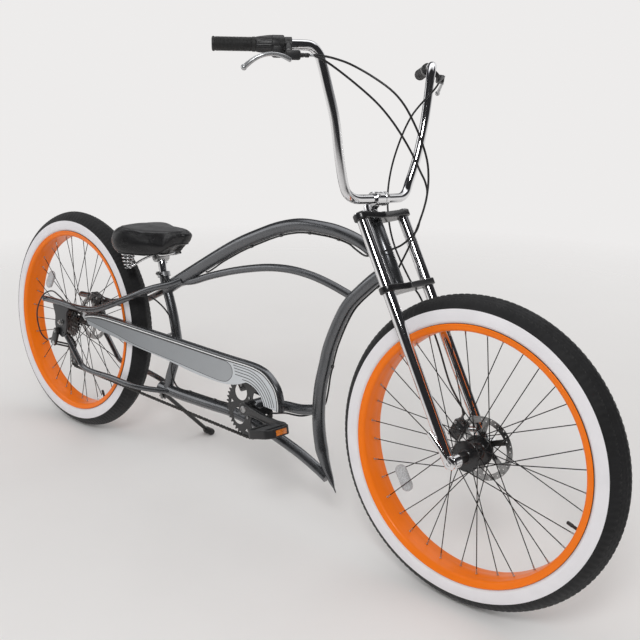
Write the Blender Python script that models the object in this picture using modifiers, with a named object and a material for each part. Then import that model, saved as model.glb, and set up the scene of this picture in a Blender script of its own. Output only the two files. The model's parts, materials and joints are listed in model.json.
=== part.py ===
"""Chopper bicycle, leaning on its side stand.

Everything is modelled upright in the bicycle's own frame: +X forward, +Y to the
rider's left, +Z up, the origin on the ground under the rear axle. The root empty
then leans the bicycle onto its stand and moves it so that the ground is z = 0
and the middle of its footprint is at x = y = 0.
"""

import math

import bpy
import bmesh
from mathutils import Matrix, Vector

# Overall layout
WHEELBASE = 1.624
LEAN_DEG = 5.84
HEAD_ANGLE_DEG = 59.5
FORK_OFFSET = 0.0388
CROWN_ABOVE_TYRE = 0.0477
CROWN_SPACING = 0.1880

# Clearances
SEAT_GAP = 0.0003
RUNNING_GAP = 0.0006
SIDE_GAP = 0.0008
CABLE_GAP = 0.0005

# Wheels
TYRE_HEIGHT = 0.068
TYRE_WIDTH = 0.0824
TYRE_WALL = 0.0040
TYRE_CROWN = 0.20
RIM_RADIUS = 0.317
RIM_WIDTH = 0.080
RIM_DEPTH = 0.017
RIM_WALL = 0.0032
WHEEL_FACETS = 46
SPOKE_COUNT = 36
SPOKE_RADIUS = 0.0013
SPOKE_CROSS_DEG = 60.0
AXLE_RADIUS = 0.005
ROTOR_RADIUS = 0.080
ROTOR_THICKNESS = 0.002

# Front hub and fork
FRONT_FLANGE_RADIUS = 0.038
FRONT_FLANGE_SPREAD = 0.030
FRONT_HUB_END_RADIUS = 0.0136
FRONT_ROTOR_Y = 0.050
LEG_SPREAD = 0.083
LEG_LEAD = 0.027
LEG_RADIUS = 0.0145
CROWN_THICKNESS = 0.016

# Steering column
HEAD_TUBE_RADIUS = 0.018
HEAD_TUBE_WALL = 0.0025
STEERER_RADIUS = 0.0127

# Rear hub and drive train
REAR_FLANGE_RADIUS = 0.030
REAR_FLANGE_SPREAD = 0.028
REAR_HUB_END_RADIUS = 0.0128
REAR_ROTOR_Y = 0.052
COG_RADIUS = 0.0567
COG_DROP = 0.0048
COG_STEP = 0.0050
COG_THICKNESS = 0.0018
COG_COUNT = 7
COG_TOOTH = 0.0135
CASSETTE_INNER_Y = -0.0391
DROPOUT_Y = 0.0775
PLATE_THICKNESS = 0.006
DROPOUT_OUTLINE = [(-0.0560, 0.0590), (-0.0370, 0.0190), (-0.0400, -0.0150), (-0.0260, -0.0410),
                   (0.0060, -0.0550), (0.0260, -0.0420), (0.0340, -0.0030), (0.0300, 0.0390),
                   (0.0460, 0.0580)]
BRACKET_X = 0.917
BRACKET_DROP = 0.070
BRACKET_RADIUS = 0.021
BRACKET_WALL = 0.004
BRACKET_WIDTH = 0.070
CRANK_LENGTH = 0.170
SPINDLE_RADIUS = 0.0085
PEDAL_AXLE_RADIUS = 0.0060
CHAIN_PITCH = 0.0127
ROLLER_STEP = CHAIN_PITCH * 6
ROLLERS_FROM_RING = 0.040
ROLLERS_FROM_COG = 0.028
CHAINRING_TEETH = 44
CHAINRING_Y = -0.050
CHAINRING_THICKNESS = 0.0022
DRIVE_COG_TEETH = 22
JOCKEY_TEETH = 11
JOCKEY_UPPER = (0.0180, -0.0850)
JOCKEY_LOWER = (0.0450, -0.1330)
HANGER = (-0.0200, -0.0330)
HANGER_THICKNESS = 0.012
KNUCKLE = (-0.0300, -0.0630)
PEDAL_Y = 0.142
ARM_Y = 0.086
ARM_THICKNESS = 0.013

# Frame tubes
TOP_TUBE_RADIUS = 0.0155
TOP_TUBE_REAR_RADIUS = 0.0200
SECOND_TUBE_RADIUS = 0.0110
DOWN_TUBE_RADIUS = 0.0180
SEAT_TUBE_RADIUS = 0.0155
LOWER_TUBE_RADIUS = 0.0180
FIN_RADIUS = 0.0145
LINK_TUBE_RADIUS = 0.0150
UPPER_STAY_RADIUS = 0.0105
LOWER_STAY_RADIUS = 0.0090
SEATPOST_RADIUS = 0.0127
SEATPOST_STAND = 0.060
SEATPOST_ANGLE_DEG = 108.0

# Chain guard
GUARD_Y = -0.064
GUARD_THICKNESS = 0.004
GUARD_FLANGE = 0.0185
GUARD_OUTER_RADIUS = 0.152
GUARD_INNER_RADIUS = 0.083
GUARD_TOP = [(0.1180, 0.0450), (0.1360, 0.0620), (0.2000, 0.0750), (0.3000, 0.0800)]
GUARD_BOTTOM = [(0.8600, -0.0050), (0.7750, -0.0150), (0.6850, -0.0160), (0.6140, -0.0110),
                (0.4910, 0.0030), (0.3070, 0.0090), (0.1650, 0.0130)]
GUARD_SEAT_LUG = (0.5250, 0.0630)
GUARD_STAY_LUG = (0.1520, 0.0550)
GUARD_STAY_AT = (0.1520, 0.0750)

# Saddle, measured from the top of the seat post
SADDLE_RISE = 0.0100
SADDLE_LEVELS = [0.0, 0.0160, 0.0500, 0.0680, 0.0760]
SADDLE_NOSE_RISE = 0.0160
SADDLE_PLAN = [(0.1235, 0.0160), (0.0785, 0.0270), (0.0335, 0.0460), (-0.0115, 0.0800),
               (-0.0515, 0.1060), (-0.0915, 0.1160), (-0.1215, 0.0980), (-0.1365, 0.0500)]
RAIL_ROUTE = [(0.0835, 0.0120, 0.0140), (0.0435, 0.0180, 0.0020), (-0.0065, 0.0210, -0.0060),
              (-0.0515, 0.0350, -0.0260), (-0.0815, 0.0600, -0.0480), (-0.0915, 0.0720, -0.0500)]
SPRING_RADIUS = 0.0220

# Handlebar and grips
BAR_RADIUS = 0.0118
GRIP_RADIUS = 0.0160
GRIP_LENGTH = 0.120
GRIP_END_WALL = 0.003
SHIFTER_LENGTH = 0.046
SHIFTER_RADIUS = 0.0205
LEVER_CLAMP = 0.016
BLADE_RADIUS = 0.0045
PERCH_REACH = 0.026
BARREL_RADIUS = 0.0040
BARREL_LENGTH = 0.024

# Side stand
STAND_PIVOT = (0.415, 0.050, -0.180)
STAND_FOOT_X = 0.430
STAND_FOOT_Y = 0.2355
STAND_FOLDED = (-0.97, 0.12, -0.20)
STAND_HALF_WIDTH = 0.0090
STAND_EAR_THICKNESS = 0.0040
STAND_EAR_GAP = 0.0015
STAND_WEB_AT = 0.460
STAND_LEG_RADIUS = 0.0070
STAND_FOOT_RADIUS = 0.0120
STAND_PIN_RADIUS = 0.0045
STAND_HUB_RADIUS = 0.0125

# Brake calipers and cables
CALIPER_DEPTH = 0.032
CALIPER_WIDTH = 0.030
CALIPER_LENGTH = 0.048
FRONT_CALIPER_AT_DEG = 158.0
REAR_CALIPER_AT_DEG = 74.0
CABLE_RADIUS = 0.0025
SHIFT_ENTRY = Vector((-0.0320, 0.0, -0.0100))

# Free stretches of the cables from the levers to the frame, measured from the upper crown
FRONT_BRAKE_HANG = [(0.0032, 0.2300, 0.3552), (0.0074, 0.2000, 0.3304), (-0.0151, 0.1400, 0.2582),
                    (-0.0482, 0.1300, 0.1592), (-0.0539, 0.1200, 0.0677), (-0.0345, 0.1100, -0.0139),
                    (0.0030, 0.1000, -0.0822), (0.0712, 0.0880, -0.1598), (0.1087, 0.0850, -0.1972),
                    (0.1700, 0.0800, -0.2920), (0.2187, 0.0750, -0.3813), (0.2600, 0.0640, -0.4230)]
REAR_BRAKE_HANG = [(0.0243, -0.1700, 0.3613), (0.1044, -0.1200, 0.3126), (0.1474, -0.0900, 0.2548),
                   (0.1811, -0.0600, 0.1622), (0.1768, -0.0400, 0.0819), (0.1544, -0.0260, 0.0203),
                   (0.1423, -0.0240, -0.0124), (0.1049, -0.0280, -0.0488), (0.0644, -0.0330, -0.0668),
                   (0.0350, -0.0330, -0.0770), (0.0030, -0.0240, -0.0890),
                   (-0.0300, -0.0110, -0.0860)]
SHIFT_HANG = [(0.0012, -0.2226, 0.3605), (0.0724, -0.1300, 0.2847), (0.1271, -0.0900, 0.2115),
              (0.1579, -0.0500, 0.1353), (0.1568, -0.0100, 0.0792), (0.1225, 0.0050, -0.0165),
              (0.0752, 0.0250, -0.0994), (0.0560, 0.0300, -0.1284)]

# Stretches of the cables along the frame that no tube guides, as (x, y, z) from the rear axle
REAR_BRAKE_TAIL = [(0.6500, 0.0150, 0.2790), (0.6100, 0.0290, 0.2760), (0.5500, 0.0400, 0.2650),
                   (0.4900, 0.0480, 0.2350), (0.4200, 0.0580, 0.2020), (0.3400, 0.0700, 0.1640),
                   (0.2600, 0.0790, 0.1290), (0.1900, 0.0800, 0.1040), (0.1350, 0.0700, 0.0930)]
SHIFT_MIDDLE = [(1.1400, 0.0250, -0.0100), (1.1150, 0.0180, -0.0420), (1.0700, 0.0060, -0.0640),
                (1.0120, 0.0060, -0.0720), (0.9600, 0.0100, -0.0880), (0.9170, 0.0130, -0.0970),
                (0.8700, 0.0220, -0.1050), (0.8250, 0.0210, -0.1080)]
SHIFT_CLIMB = [(0.5600, -0.0180, -0.1050), (0.5400, -0.0270, -0.0500), (0.5520, -0.0220, 0.0200),
               (0.5450, -0.0240, 0.0800), (0.5200, -0.0320, 0.1300), (0.4700, -0.0520, 0.1700),
               (0.4100, -0.0690, 0.1670)]
SHIFT_LOOP = [(0.0400, -0.0920, 0.0850), (-0.0300, -0.0930, 0.1070), (-0.0900, -0.0930, 0.0850),
              (-0.1280, -0.0930, 0.0350), (-0.1340, -0.0930, -0.0100), (-0.1120, -0.0920, -0.0600)]

TYRE_RADIUS = RIM_RADIUS + TYRE_HEIGHT
CROWN_BOTTOM_AT = TYRE_RADIUS + CROWN_ABOVE_TYRE
CROWN_TOP_AT = CROWN_BOTTOM_AT + CROWN_SPACING
AXLE_REAR = Vector((0.0, 0.0, TYRE_RADIUS))
AXLE_FRONT = Vector((WHEELBASE, 0.0, TYRE_RADIUS))
STEER_UP = Vector((-math.cos(math.radians(HEAD_ANGLE_DEG)), 0.0, math.sin(math.radians(HEAD_ANGLE_DEG))))
STEER_AHEAD = Vector((STEER_UP.z, 0.0, -STEER_UP.x))
STEER_BASE = AXLE_FRONT - STEER_AHEAD * FORK_OFFSET
RIGHT, LEFT = -1, 1
UP = Vector((0.0, 0.0, 1.0))
FORWARD = Vector((1.0, 0.0, 0.0))
SIDEWAYS = Vector((0.0, 1.0, 0.0))

# The frame's points are measured from the rear axle with the lower crown at ROUTE_HEAD. What lies behind
# STRETCH_FROM stays with the rear axle, and what lies ahead of STRETCH_TO goes with the crown.
ROUTE_HEAD = (1.3710, 0.3531)
STRETCH_FROM = 0.560
STRETCH_TO = 1.130

# Routes of the frame tubes as (x, z) down the centre line, and the points that smoothing gives each span
PER_SPAN = 2
TOP_TUBE_ROUTE = [(1.3150, 0.4150), (1.2420, 0.4520), (1.1670, 0.4700), (1.0980, 0.4740), (1.0260, 0.4710),
                  (0.9520, 0.4530), (0.8760, 0.4230), (0.7970, 0.3870), (0.7140, 0.3410), (0.6280, 0.2900),
                  (0.5360, 0.2350), (0.4760, 0.1980)]
SECOND_TUBE_ROUTE = [(1.2400, 0.3050), (1.1460, 0.3290), (1.0730, 0.3410), (0.9990, 0.3440),
                     (0.9220, 0.3370), (0.8430, 0.3210), (0.7600, 0.2990), (0.6740, 0.2710),
                     (0.6000, 0.2430), (0.5500, 0.2320)]
DOWN_TUBE_ROUTE = [(1.3450, 0.4000), (1.3020, 0.3740), (1.2630, 0.3390), (1.2180, 0.2910),
                   (1.1890, 0.2390), (1.1610, 0.1640), (1.1490, 0.1050), (1.1390, 0.0460),
                   (1.1370, -0.0120), (1.1420, -0.0690), (1.1550, -0.1240), (1.1730, -0.1680),
                   (1.1990, -0.2130), (1.2120, -0.2330)]
SEAT_TUBE_ROUTE = [(0.4550, 0.2480), (0.4700, 0.2050), (0.4890, 0.1650), (0.5070, 0.1230),
                   (0.5240, 0.0710), (0.5340, 0.0200), (0.5220, -0.0350), (0.5050, -0.0850),
                   (0.4930, -0.1400)]
LOWER_TUBE_ROUTE = [(0.4580, -0.1340), (0.5530, -0.1350), (0.6500, -0.1320), (0.7200, -0.1290),
                    (0.7870, -0.1260), (0.8660, -0.1300), (0.9300, -0.1380), (1.0000, -0.1520),
                    (1.0800, -0.1720), (1.1500, -0.1960), (1.1850, -0.2110)]
LINK_FRONT_ROUTE = [(0.9170, -0.0700), (0.9650, -0.0580), (1.0120, -0.0490), (1.0690, -0.0430),
                    (1.1130, -0.0320), (1.1380, -0.0230)]
LINK_REAR_ROUTE = [(0.8250, -0.1290), (0.8550, -0.1090), (0.8850, -0.0880), (0.9170, -0.0700)]

# Routes of the stays as (x, y, z), given for the left side
UPPER_STAY_ROUTE = [(-0.1120, 0.0770, 0.0650), (-0.0160, 0.0770, 0.0690), (0.0760, 0.0770, 0.0690),
                    (0.1650, 0.0765, 0.0770), (0.2220, 0.0740, 0.0920), (0.2970, 0.0680, 0.1240),
                    (0.3630, 0.0600, 0.1550), (0.4460, 0.0440, 0.1950), (0.5250, 0.0250, 0.2230),
                    (0.5600, 0.0120, 0.2400)]
LOWER_STAY_ROUTE = [(0.0300, 0.0770, -0.0450), (0.0540, 0.0770, -0.0650), (0.0970, 0.0765, -0.1060),
                    (0.1270, 0.0760, -0.1310), (0.1740, 0.0740, -0.1380), (0.2750, 0.0700, -0.1345),
                    (0.3740, 0.0600, -0.1385), (0.4300, 0.0440, -0.1390), (0.4850, 0.0240, -0.1360),
                    (0.5200, 0.0080, -0.1345)]

# The left half of the handlebar from the clamp to the grip's end, measured from the upper crown
BAR_ROUTE = [(0.0085, 0.0000, 0.0539), (0.0085, 0.0600, 0.0539), (0.0075, 0.0950, 0.0559),
             (0.0035, 0.1200, 0.0679), (0.0010, 0.1330, 0.0899), (0.0015, 0.1470, 0.1239),
             (0.0015, 0.1620, 0.1689), (-0.0005, 0.1800, 0.2374), (-0.0095, 0.2000, 0.3029),
             (-0.0185, 0.2160, 0.3569), (-0.0235, 0.2250, 0.3779), (-0.0325, 0.2400, 0.3919),
             (-0.0462, 0.2570, 0.3931)]
BAR_TIP = (-0.1795, 0.3990, 0.3819)

for leftover in list(bpy.data.objects):
    bpy.data.objects.remove(leftover, do_unlink=True)

PARTS = bpy.data.collections.new("chopper_bicycle")
CUTTERS = bpy.data.collections.new("cutters")
bpy.context.scene.collection.children.link(PARTS)
bpy.context.scene.collection.children.link(CUTTERS)


def material(name, colour, roughness, metallic):
    """A Principled material with the part's colour."""
    made = bpy.data.materials.new(name)
    made.use_nodes = True
    shader = made.node_tree.nodes["Principled BSDF"]
    shader.inputs["Base Color"].default_value = (*colour, 1.0)
    shader.inputs["Roughness"].default_value = roughness
    shader.inputs["Metallic"].default_value = metallic
    made.diffuse_color = (*colour, 1.0)
    return made


GRAPHITE = ("graphite_paint", (0.060, 0.065, 0.072), 0.35, 0.70)
SILVER = ("silver_paint", (0.300, 0.325, 0.345), 0.40, 0.60)
CHROME = ("chrome", (0.800, 0.800, 0.800), 0.08, 1.00)
STEEL = ("steel", (0.450, 0.450, 0.450), 0.30, 1.00)
BLACK = ("black_paint", (0.012, 0.012, 0.013), 0.35, 0.20)
ORANGE = ("orange_paint", (0.900, 0.200, 0.015), 0.40, 0.00)
RUBBER = ("rubber", (0.012, 0.012, 0.013), 0.80, 0.00)
PLASTIC = ("black_plastic", (0.015, 0.015, 0.016), 0.50, 0.00)
VINYL = ("black_vinyl", (0.010, 0.010, 0.011), 0.45, 0.00)


def finish(obj, look):
    """Give a part its own material and put it in the parts collection."""
    obj.data.materials.clear()
    obj.data.materials.append(material(obj.name + "_" + look[0], *look[1:]))
    if obj.name not in PARTS.objects:
        for holder in list(obj.users_collection):
            holder.objects.unlink(obj)
        PARTS.objects.link(obj)
    return obj


def empty(name, matrix, parent=None, parent_matrix=None):
    """An empty that carries a moving group; matrix is in the bicycle's frame."""
    made = bpy.data.objects.new(name, None)
    made.empty_display_size = 0.05
    PARTS.objects.link(made)
    if parent is None:
        made.matrix_local = matrix
    else:
        made.parent = parent
        made.matrix_local = parent_matrix.inverted() @ matrix
    return made


def mesh_object(name, mesh):
    """A new object for a mesh, not yet in a collection's final place."""
    made = bpy.data.objects.new(name, mesh)
    PARTS.objects.link(made)
    return made


def from_bmesh(name, work):
    """Turn a bmesh into an object and free it."""
    mesh = bpy.data.meshes.new(name)
    work.to_mesh(mesh)
    work.free()
    return mesh_object(name, mesh)


def bake(obj):
    """Replace an object by the mesh that its modifiers or curve give."""
    bpy.context.view_layer.update()
    graph = bpy.context.evaluated_depsgraph_get()
    mesh = bpy.data.meshes.new_from_object(obj.evaluated_get(graph))
    name = obj.name
    matrix = obj.matrix_world.copy()
    bpy.data.objects.remove(obj, do_unlink=True)
    work = bmesh.new()
    work.from_mesh(mesh)
    work.transform(matrix)
    bmesh.ops.remove_doubles(work, verts=work.verts, dist=0.00001)
    work.to_mesh(mesh)
    work.free()
    mesh.name = name
    return mesh_object(name, mesh)


def boolean(target, tool, operation="DIFFERENCE"):
    """Cut a tool from a target, or join it on, and remove the tool."""
    for holder in list(tool.users_collection):
        holder.objects.unlink(tool)
    CUTTERS.objects.link(tool)
    tool.hide_render = True
    tool.display_type = "WIRE"
    change = target.modifiers.new(operation.lower(), "BOOLEAN")
    change.operation = operation
    change.solver = "EXACT"
    change.object = tool
    made = bake(target)
    bpy.data.objects.remove(tool, do_unlink=True)
    return made


def smooth(points, per_span=3):
    """Points along a Catmull-Rom curve through the given points."""
    points = [Vector(p) for p in points]
    before = points[0] * 2 - points[1]
    after = points[-1] * 2 - points[-2]
    guides = [before] + points + [after]
    route = []
    for index in range(1, len(guides) - 2):
        a, b, c, d = guides[index - 1:index + 3]
        for step in range(per_span):
            t = step / per_span
            route.append(0.5 * ((2 * b) + (c - a) * t + (2 * a - 5 * b + 4 * c - d) * t ** 2
                                + (3 * b - a - 3 * c + d) * t ** 3))
    route.append(points[-1])
    return route


def steer_point(along, ahead=0.0, y=0.0):
    """A point at a height along the steering axis, a distance ahead of it."""
    return STEER_BASE + STEER_UP * along + STEER_AHEAD * ahead + SIDEWAYS * y


def placed(x, z, y=0.0):
    """A frame point measured from the rear axle, moved with the steering head as far as it lies forward."""
    moved = steer_point(CROWN_BOTTOM_AT) - AXLE_REAR - Vector((ROUTE_HEAD[0], 0.0, ROUTE_HEAD[1]))
    share = min(max((x - STRETCH_FROM) / (STRETCH_TO - STRETCH_FROM), 0.0), 1.0)
    return AXLE_REAR + Vector((x, y, z)) + moved * share


BRACKET = placed(BRACKET_X, -BRACKET_DROP)


def in_plane(route, y=0.0):
    """The points of a route in the bicycle's middle plane, or beside it."""
    return [placed(x, z, y) for x, z in route]


def flat(route):
    """The same points as (x, z), for an outline."""
    return [(point.x, point.z) for point in in_plane(route)]


def tapered(first, last, count, full_at=1.0):
    """Radii that go evenly from the first to the last, which is reached at a share of the points."""
    return [first + (last - first) * min(1.0, i / (full_at * (count - 1))) for i in range(count)]


def mirrored(route, side):
    """The same route on the left (+1) or the right (-1) side."""
    return [placed(p[0], p[2], p[1] * side) for p in route]


# The smooth centre lines that the tubes, the cuts in their neighbours and the cables share
TOP_LINE = smooth(in_plane(TOP_TUBE_ROUTE), PER_SPAN)
TOP_RADII = tapered(TOP_TUBE_RADIUS, TOP_TUBE_REAR_RADIUS, len(TOP_LINE), 0.7)
SECOND_LINE = smooth(in_plane(SECOND_TUBE_ROUTE), PER_SPAN)
DOWN_LINE = smooth(in_plane(DOWN_TUBE_ROUTE), PER_SPAN)
DOWN_RADII = [DOWN_TUBE_RADIUS * min(1.0, 0.12 + 0.16 * i) for i in reversed(range(len(DOWN_LINE)))]
SEAT_LINE = smooth(in_plane(SEAT_TUBE_ROUTE), PER_SPAN)
LOWER_LINE = smooth(in_plane(LOWER_TUBE_ROUTE), PER_SPAN)
LOWER_RADII = tapered(LOWER_TUBE_RADIUS, FIN_RADIUS, len(LOWER_LINE))
UPPER_STAY_LINE = {side: smooth(mirrored(UPPER_STAY_ROUTE, side), PER_SPAN) for side in (RIGHT, LEFT)}
LOWER_STAY_LINE = {side: smooth(mirrored(LOWER_STAY_ROUTE, side), PER_SPAN) for side in (RIGHT, LEFT)}


def curve(name, route, radius, radii=None, resolution=3):
    """A round tube along a route, with filled caps."""
    data = bpy.data.curves.new(name, "CURVE")
    data.dimensions = "3D"
    data.bevel_depth = radius
    data.bevel_resolution = resolution
    data.use_fill_caps = True
    data.twist_mode = "MINIMUM"
    spline = data.splines.new("POLY")
    spline.points.add(len(route) - 1)
    for index, point in enumerate(route):
        spline.points[index].co = (*point, 1.0)
        spline.points[index].radius = radii[index] / radius if radii else 1.0
    made = bpy.data.objects.new(name, data)
    PARTS.objects.link(made)
    return made


def tube(name, route, radius, radii=None, resolution=3):
    """The same tube as a mesh, ready to be cut."""
    return bake(curve(name, route, radius, radii, resolution))


def islands(work):
    """The loose pieces of a bmesh as lists of vertices, largest first."""
    left = set(work.verts)
    groups = []
    while left:
        stack = [left.pop()]
        group = list(stack)
        while stack:
            for edge in stack.pop().link_edges:
                for vert in edge.verts:
                    if vert in left:
                        left.discard(vert)
                        group.append(vert)
                        stack.append(vert)
        groups.append(group)
    return sorted(groups, key=lambda verts: -span(verts))


def span(verts):
    """The diagonal of the box round some vertices."""
    low = [min(v.co[i] for v in verts) for i in range(3)]
    high = [max(v.co[i] for v in verts) for i in range(3)]
    return math.dist(low, high)


def trim_offcuts(obj, keep=1):
    """Drop the small ends that a cut leaves inside the other tube."""
    work = bmesh.new()
    work.from_mesh(obj.data)
    for group in islands(work)[keep:]:
        bmesh.ops.delete(work, geom=group, context="VERTS")
    work.to_mesh(obj.data)
    work.free()
    return obj


def cope(target, route, radius, radii=None):
    """Cut a tube's end to the shape of the tube that it is welded to."""
    wider = [r + SEAT_GAP for r in radii] if radii else None
    if len(route) == 2:
        return trim_offcuts(boolean(target, cylinder("coping", *route, radius + SEAT_GAP, 20)))
    return trim_offcuts(boolean(target, tube("coping", route, radius + SEAT_GAP, wider)))


def turned(name, profile, steps, matrix):
    """A body of revolution about local Z from (radius, z) points, outer side downwards."""
    work = bmesh.new()
    corners = [work.verts.new((r, 0.0, z)) for r, z in profile]
    closed = profile[0][0] > 0.0
    pairs = list(zip(corners, corners[1:])) + ([(corners[-1], corners[0])] if closed else [])
    for a, b in pairs:
        work.edges.new((a, b))
    made = from_bmesh(name, work)
    screw = made.modifiers.new("turn", "SCREW")
    screw.axis = "Z"
    screw.angle = math.tau
    screw.steps = steps
    screw.render_steps = steps
    screw.use_merge_vertices = True
    screw.merge_threshold = 0.00001
    made.matrix_world = matrix
    return made


def cylinder(name, start, end, radius, sides=16, end_radius=None):
    """A cylinder or cone between two points."""
    start, end = Vector(start), Vector(end)
    work = bmesh.new()
    bmesh.ops.create_cone(work, cap_ends=True, segments=sides, radius1=radius,
                          radius2=radius if end_radius is None else end_radius, depth=(end - start).length)
    work.transform(Matrix.Translation((start + end) / 2) @ (end - start).to_track_quat("Z", "Y").to_matrix().to_4x4())
    return from_bmesh(name, work)


def bore_out(target, start, end, radius, sides=16):
    """Cut a round hole whose flats clear a shaft of the radius by the seat gap."""
    flats = (radius + SEAT_GAP) / math.cos(math.pi / sides)
    return boolean(target, cylinder("bore", start, end, flats, sides))


def box(name, centre, size, matrix=None):
    """A box, turned by a matrix about its centre."""
    work = bmesh.new()
    bmesh.ops.create_cube(work, size=1.0)
    work.transform(Matrix.Diagonal((*size, 1.0)))
    if matrix:
        work.transform(matrix)
    work.transform(Matrix.Translation(centre))
    return from_bmesh(name, work)


def plate(name, outlines, thickness, matrix):
    """A flat plate from outlines in its own XY plane; the first is the edge, the rest are holes."""
    data = bpy.data.curves.new(name, "CURVE")
    data.dimensions = "2D"
    data.fill_mode = "BOTH"
    data.extrude = thickness / 2
    for outline in outlines:
        spline = data.splines.new("POLY")
        spline.points.add(len(outline) - 1)
        for index, (x, y) in enumerate(outline):
            spline.points[index].co = (x, y, 0.0, 1.0)
        spline.use_cyclic_u = True
    made = bpy.data.objects.new(name, data)
    PARTS.objects.link(made)
    made.matrix_world = matrix
    return bake(made)


def arc(centre, radius, start_deg, end_deg, count):
    """Points on an arc, ends included."""
    angles = [math.radians(start_deg + (end_deg - start_deg) * i / (count - 1)) for i in range(count)]
    return [(centre[0] + radius * math.cos(a), centre[1] + radius * math.sin(a)) for a in angles]


def circle(centre, radius, count):
    """A closed ring of points."""
    return arc(centre, radius, 0.0, 360.0 * (count - 1) / count, count)


def side_plane(y):
    """The matrix that lays a plate's XY plane in the bicycle's XZ plane at y."""
    return Matrix.Translation((0.0, y, 0.0)) @ Matrix.Rotation(math.radians(90.0), 4, "X")


def wheel_matrix(axle):
    """The matrix that turns local Z to +Y at an axle."""
    return Matrix.Translation(axle) @ Matrix.Rotation(math.radians(-90.0), 4, "X")


def smooth_shade(obj, angle_deg=40.0):
    """Shade round faces smooth and keep hard edges."""
    obj.data.shade_smooth()
    obj.data.set_sharp_from_angle(angle=math.radians(angle_deg))


def rim(name, axle):
    """A single-wall channel rim, open towards the tyre."""
    half = RIM_WIDTH / 2
    floor = RIM_RADIUS - RIM_DEPTH + RIM_WALL
    profile = [(RIM_RADIUS, half), (RIM_RADIUS, half - RIM_WALL), (floor, half - 0.005),
               (floor, 0.005 - half), (RIM_RADIUS, RIM_WALL - half), (RIM_RADIUS, -half),
               (RIM_RADIUS - 0.012, -half), (RIM_RADIUS - RIM_DEPTH, 0.0055 - half),
               (RIM_RADIUS - RIM_DEPTH, half - 0.0055), (RIM_RADIUS - 0.012, half)]
    return finish(turned(name, profile, WHEEL_FACETS, wheel_matrix(axle)), ORANGE)


def tyre(name, axle):
    """A balloon tyre, hollow and open between its beads."""
    bead = RIM_WIDTH / 2 - RIM_WALL - SIDE_GAP
    widest = TYRE_WIDTH / 2
    foot = RIM_RADIUS - RIM_DEPTH + RIM_WALL + 0.003
    shoulder = RIM_RADIUS + 0.0010
    height = TYRE_RADIUS - shoulder
    outer = [(foot, bead - 0.001), (shoulder, bead), (shoulder + height * 0.24, widest),
             (shoulder + height * 0.53, widest * 0.96), (shoulder + height * 0.85, widest * 0.62),
             (TYRE_RADIUS, widest * TYRE_CROWN)]
    inner = [(TYRE_RADIUS - TYRE_WALL * 1.5, widest * 0.24), (shoulder + height * 0.48, widest - TYRE_WALL),
             (foot, bead - TYRE_WALL - 0.001)]
    profile = outer + [(r, -z) for r, z in reversed(outer)] + [(r, -z) for r, z in reversed(inner)] + inner
    return finish(turned(name, profile, WHEEL_FACETS, wheel_matrix(axle)), RUBBER)


def rotor(name, axle, y, hub_radius):
    """A brake disc: a ring on six arms."""
    ring = circle((0.0, 0.0), ROTOR_RADIUS, 24)
    windows = []
    for index in range(6):
        middle = 60.0 * index
        windows.append(arc((0.0, 0.0), ROTOR_RADIUS - 0.015, middle - 22.0, middle + 22.0, 5)
                       + arc((0.0, 0.0), 0.030, middle + 14.0, middle - 14.0, 3))
    hole = circle((0.0, 0.0), hub_radius + SEAT_GAP, 16)
    place = Matrix.Translation(axle + SIDEWAYS * y) @ Matrix.Rotation(math.radians(90.0), 4, "X")
    return finish(plate(name, [ring] + windows + [hole], ROTOR_THICKNESS, place), STEEL)


def spoked_hub(name, axle, profile, flange_radius, spread):
    """A hub shell with its spokes laced three-cross to the rim."""
    place = wheel_matrix(axle)
    shell = bake(turned(name, profile, 12, place))
    work = bmesh.new()
    reach = (RIM_RADIUS - RIM_DEPTH) * math.cos(math.pi / WHEEL_FACETS) - SEAT_GAP
    hole_radius = flange_radius - 0.004
    per_side = SPOKE_COUNT // 2
    for side in (RIGHT, LEFT):
        for index in range(per_side):
            turn = 1 if index % 2 else -1
            at_hub = math.tau * (index + (0.5 if side > 0 else 0.0)) / per_side
            at_rim = at_hub + math.radians(SPOKE_CROSS_DEG) * turn
            start = Vector((hole_radius * math.cos(at_hub), hole_radius * math.sin(at_hub),
                            side * spread + turn * 0.0022))
            end = Vector((reach * math.cos(at_rim), reach * math.sin(at_rim), side * 0.006))
            lie = (end - start).to_track_quat("Z", "Y").to_matrix().to_4x4()
            bmesh.ops.create_cone(work, cap_ends=True, segments=4, radius1=SPOKE_RADIUS, radius2=SPOKE_RADIUS,
                                  depth=(end - start).length, matrix=Matrix.Translation((start + end) / 2) @ lie)
    work.transform(place)
    return finish(boolean(shell, from_bmesh("spokes", work), "UNION"), BLACK)


def hub_profile(core, end, flange, spread, half_width, bore):
    """Outline of a flanged hub, bored for its axle."""
    return [(bore, half_width), (end, half_width), (end, spread + 0.008), (core, spread + 0.005),
            (core, spread + 0.0015),
            (flange, spread + 0.0015), (flange, spread - 0.0015), (core, spread - 0.0015),
            (core, 0.0015 - spread), (flange, 0.0015 - spread), (flange, -spread - 0.0015),
            (core, -spread - 0.0015), (core, -spread - 0.005), (end, -spread - 0.008), (end, -half_width),
            (bore, -half_width)]


def front_wheel():
    """Rim, tyre, hub with spokes, and brake disc of the front wheel."""
    hub_half = LEG_SPREAD - LEG_RADIUS - 0.004
    profile = hub_profile(0.017, FRONT_HUB_END_RADIUS, FRONT_FLANGE_RADIUS, FRONT_FLANGE_SPREAD, hub_half, AXLE_RADIUS + RUNNING_GAP)
    return [rim("front_rim", AXLE_FRONT), tyre("front_tyre", AXLE_FRONT),
            spoked_hub("front_hub", AXLE_FRONT, profile, FRONT_FLANGE_RADIUS, FRONT_FLANGE_SPREAD),
            rotor("front_rotor", AXLE_FRONT, FRONT_ROTOR_Y, FRONT_HUB_END_RADIUS)]


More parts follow.
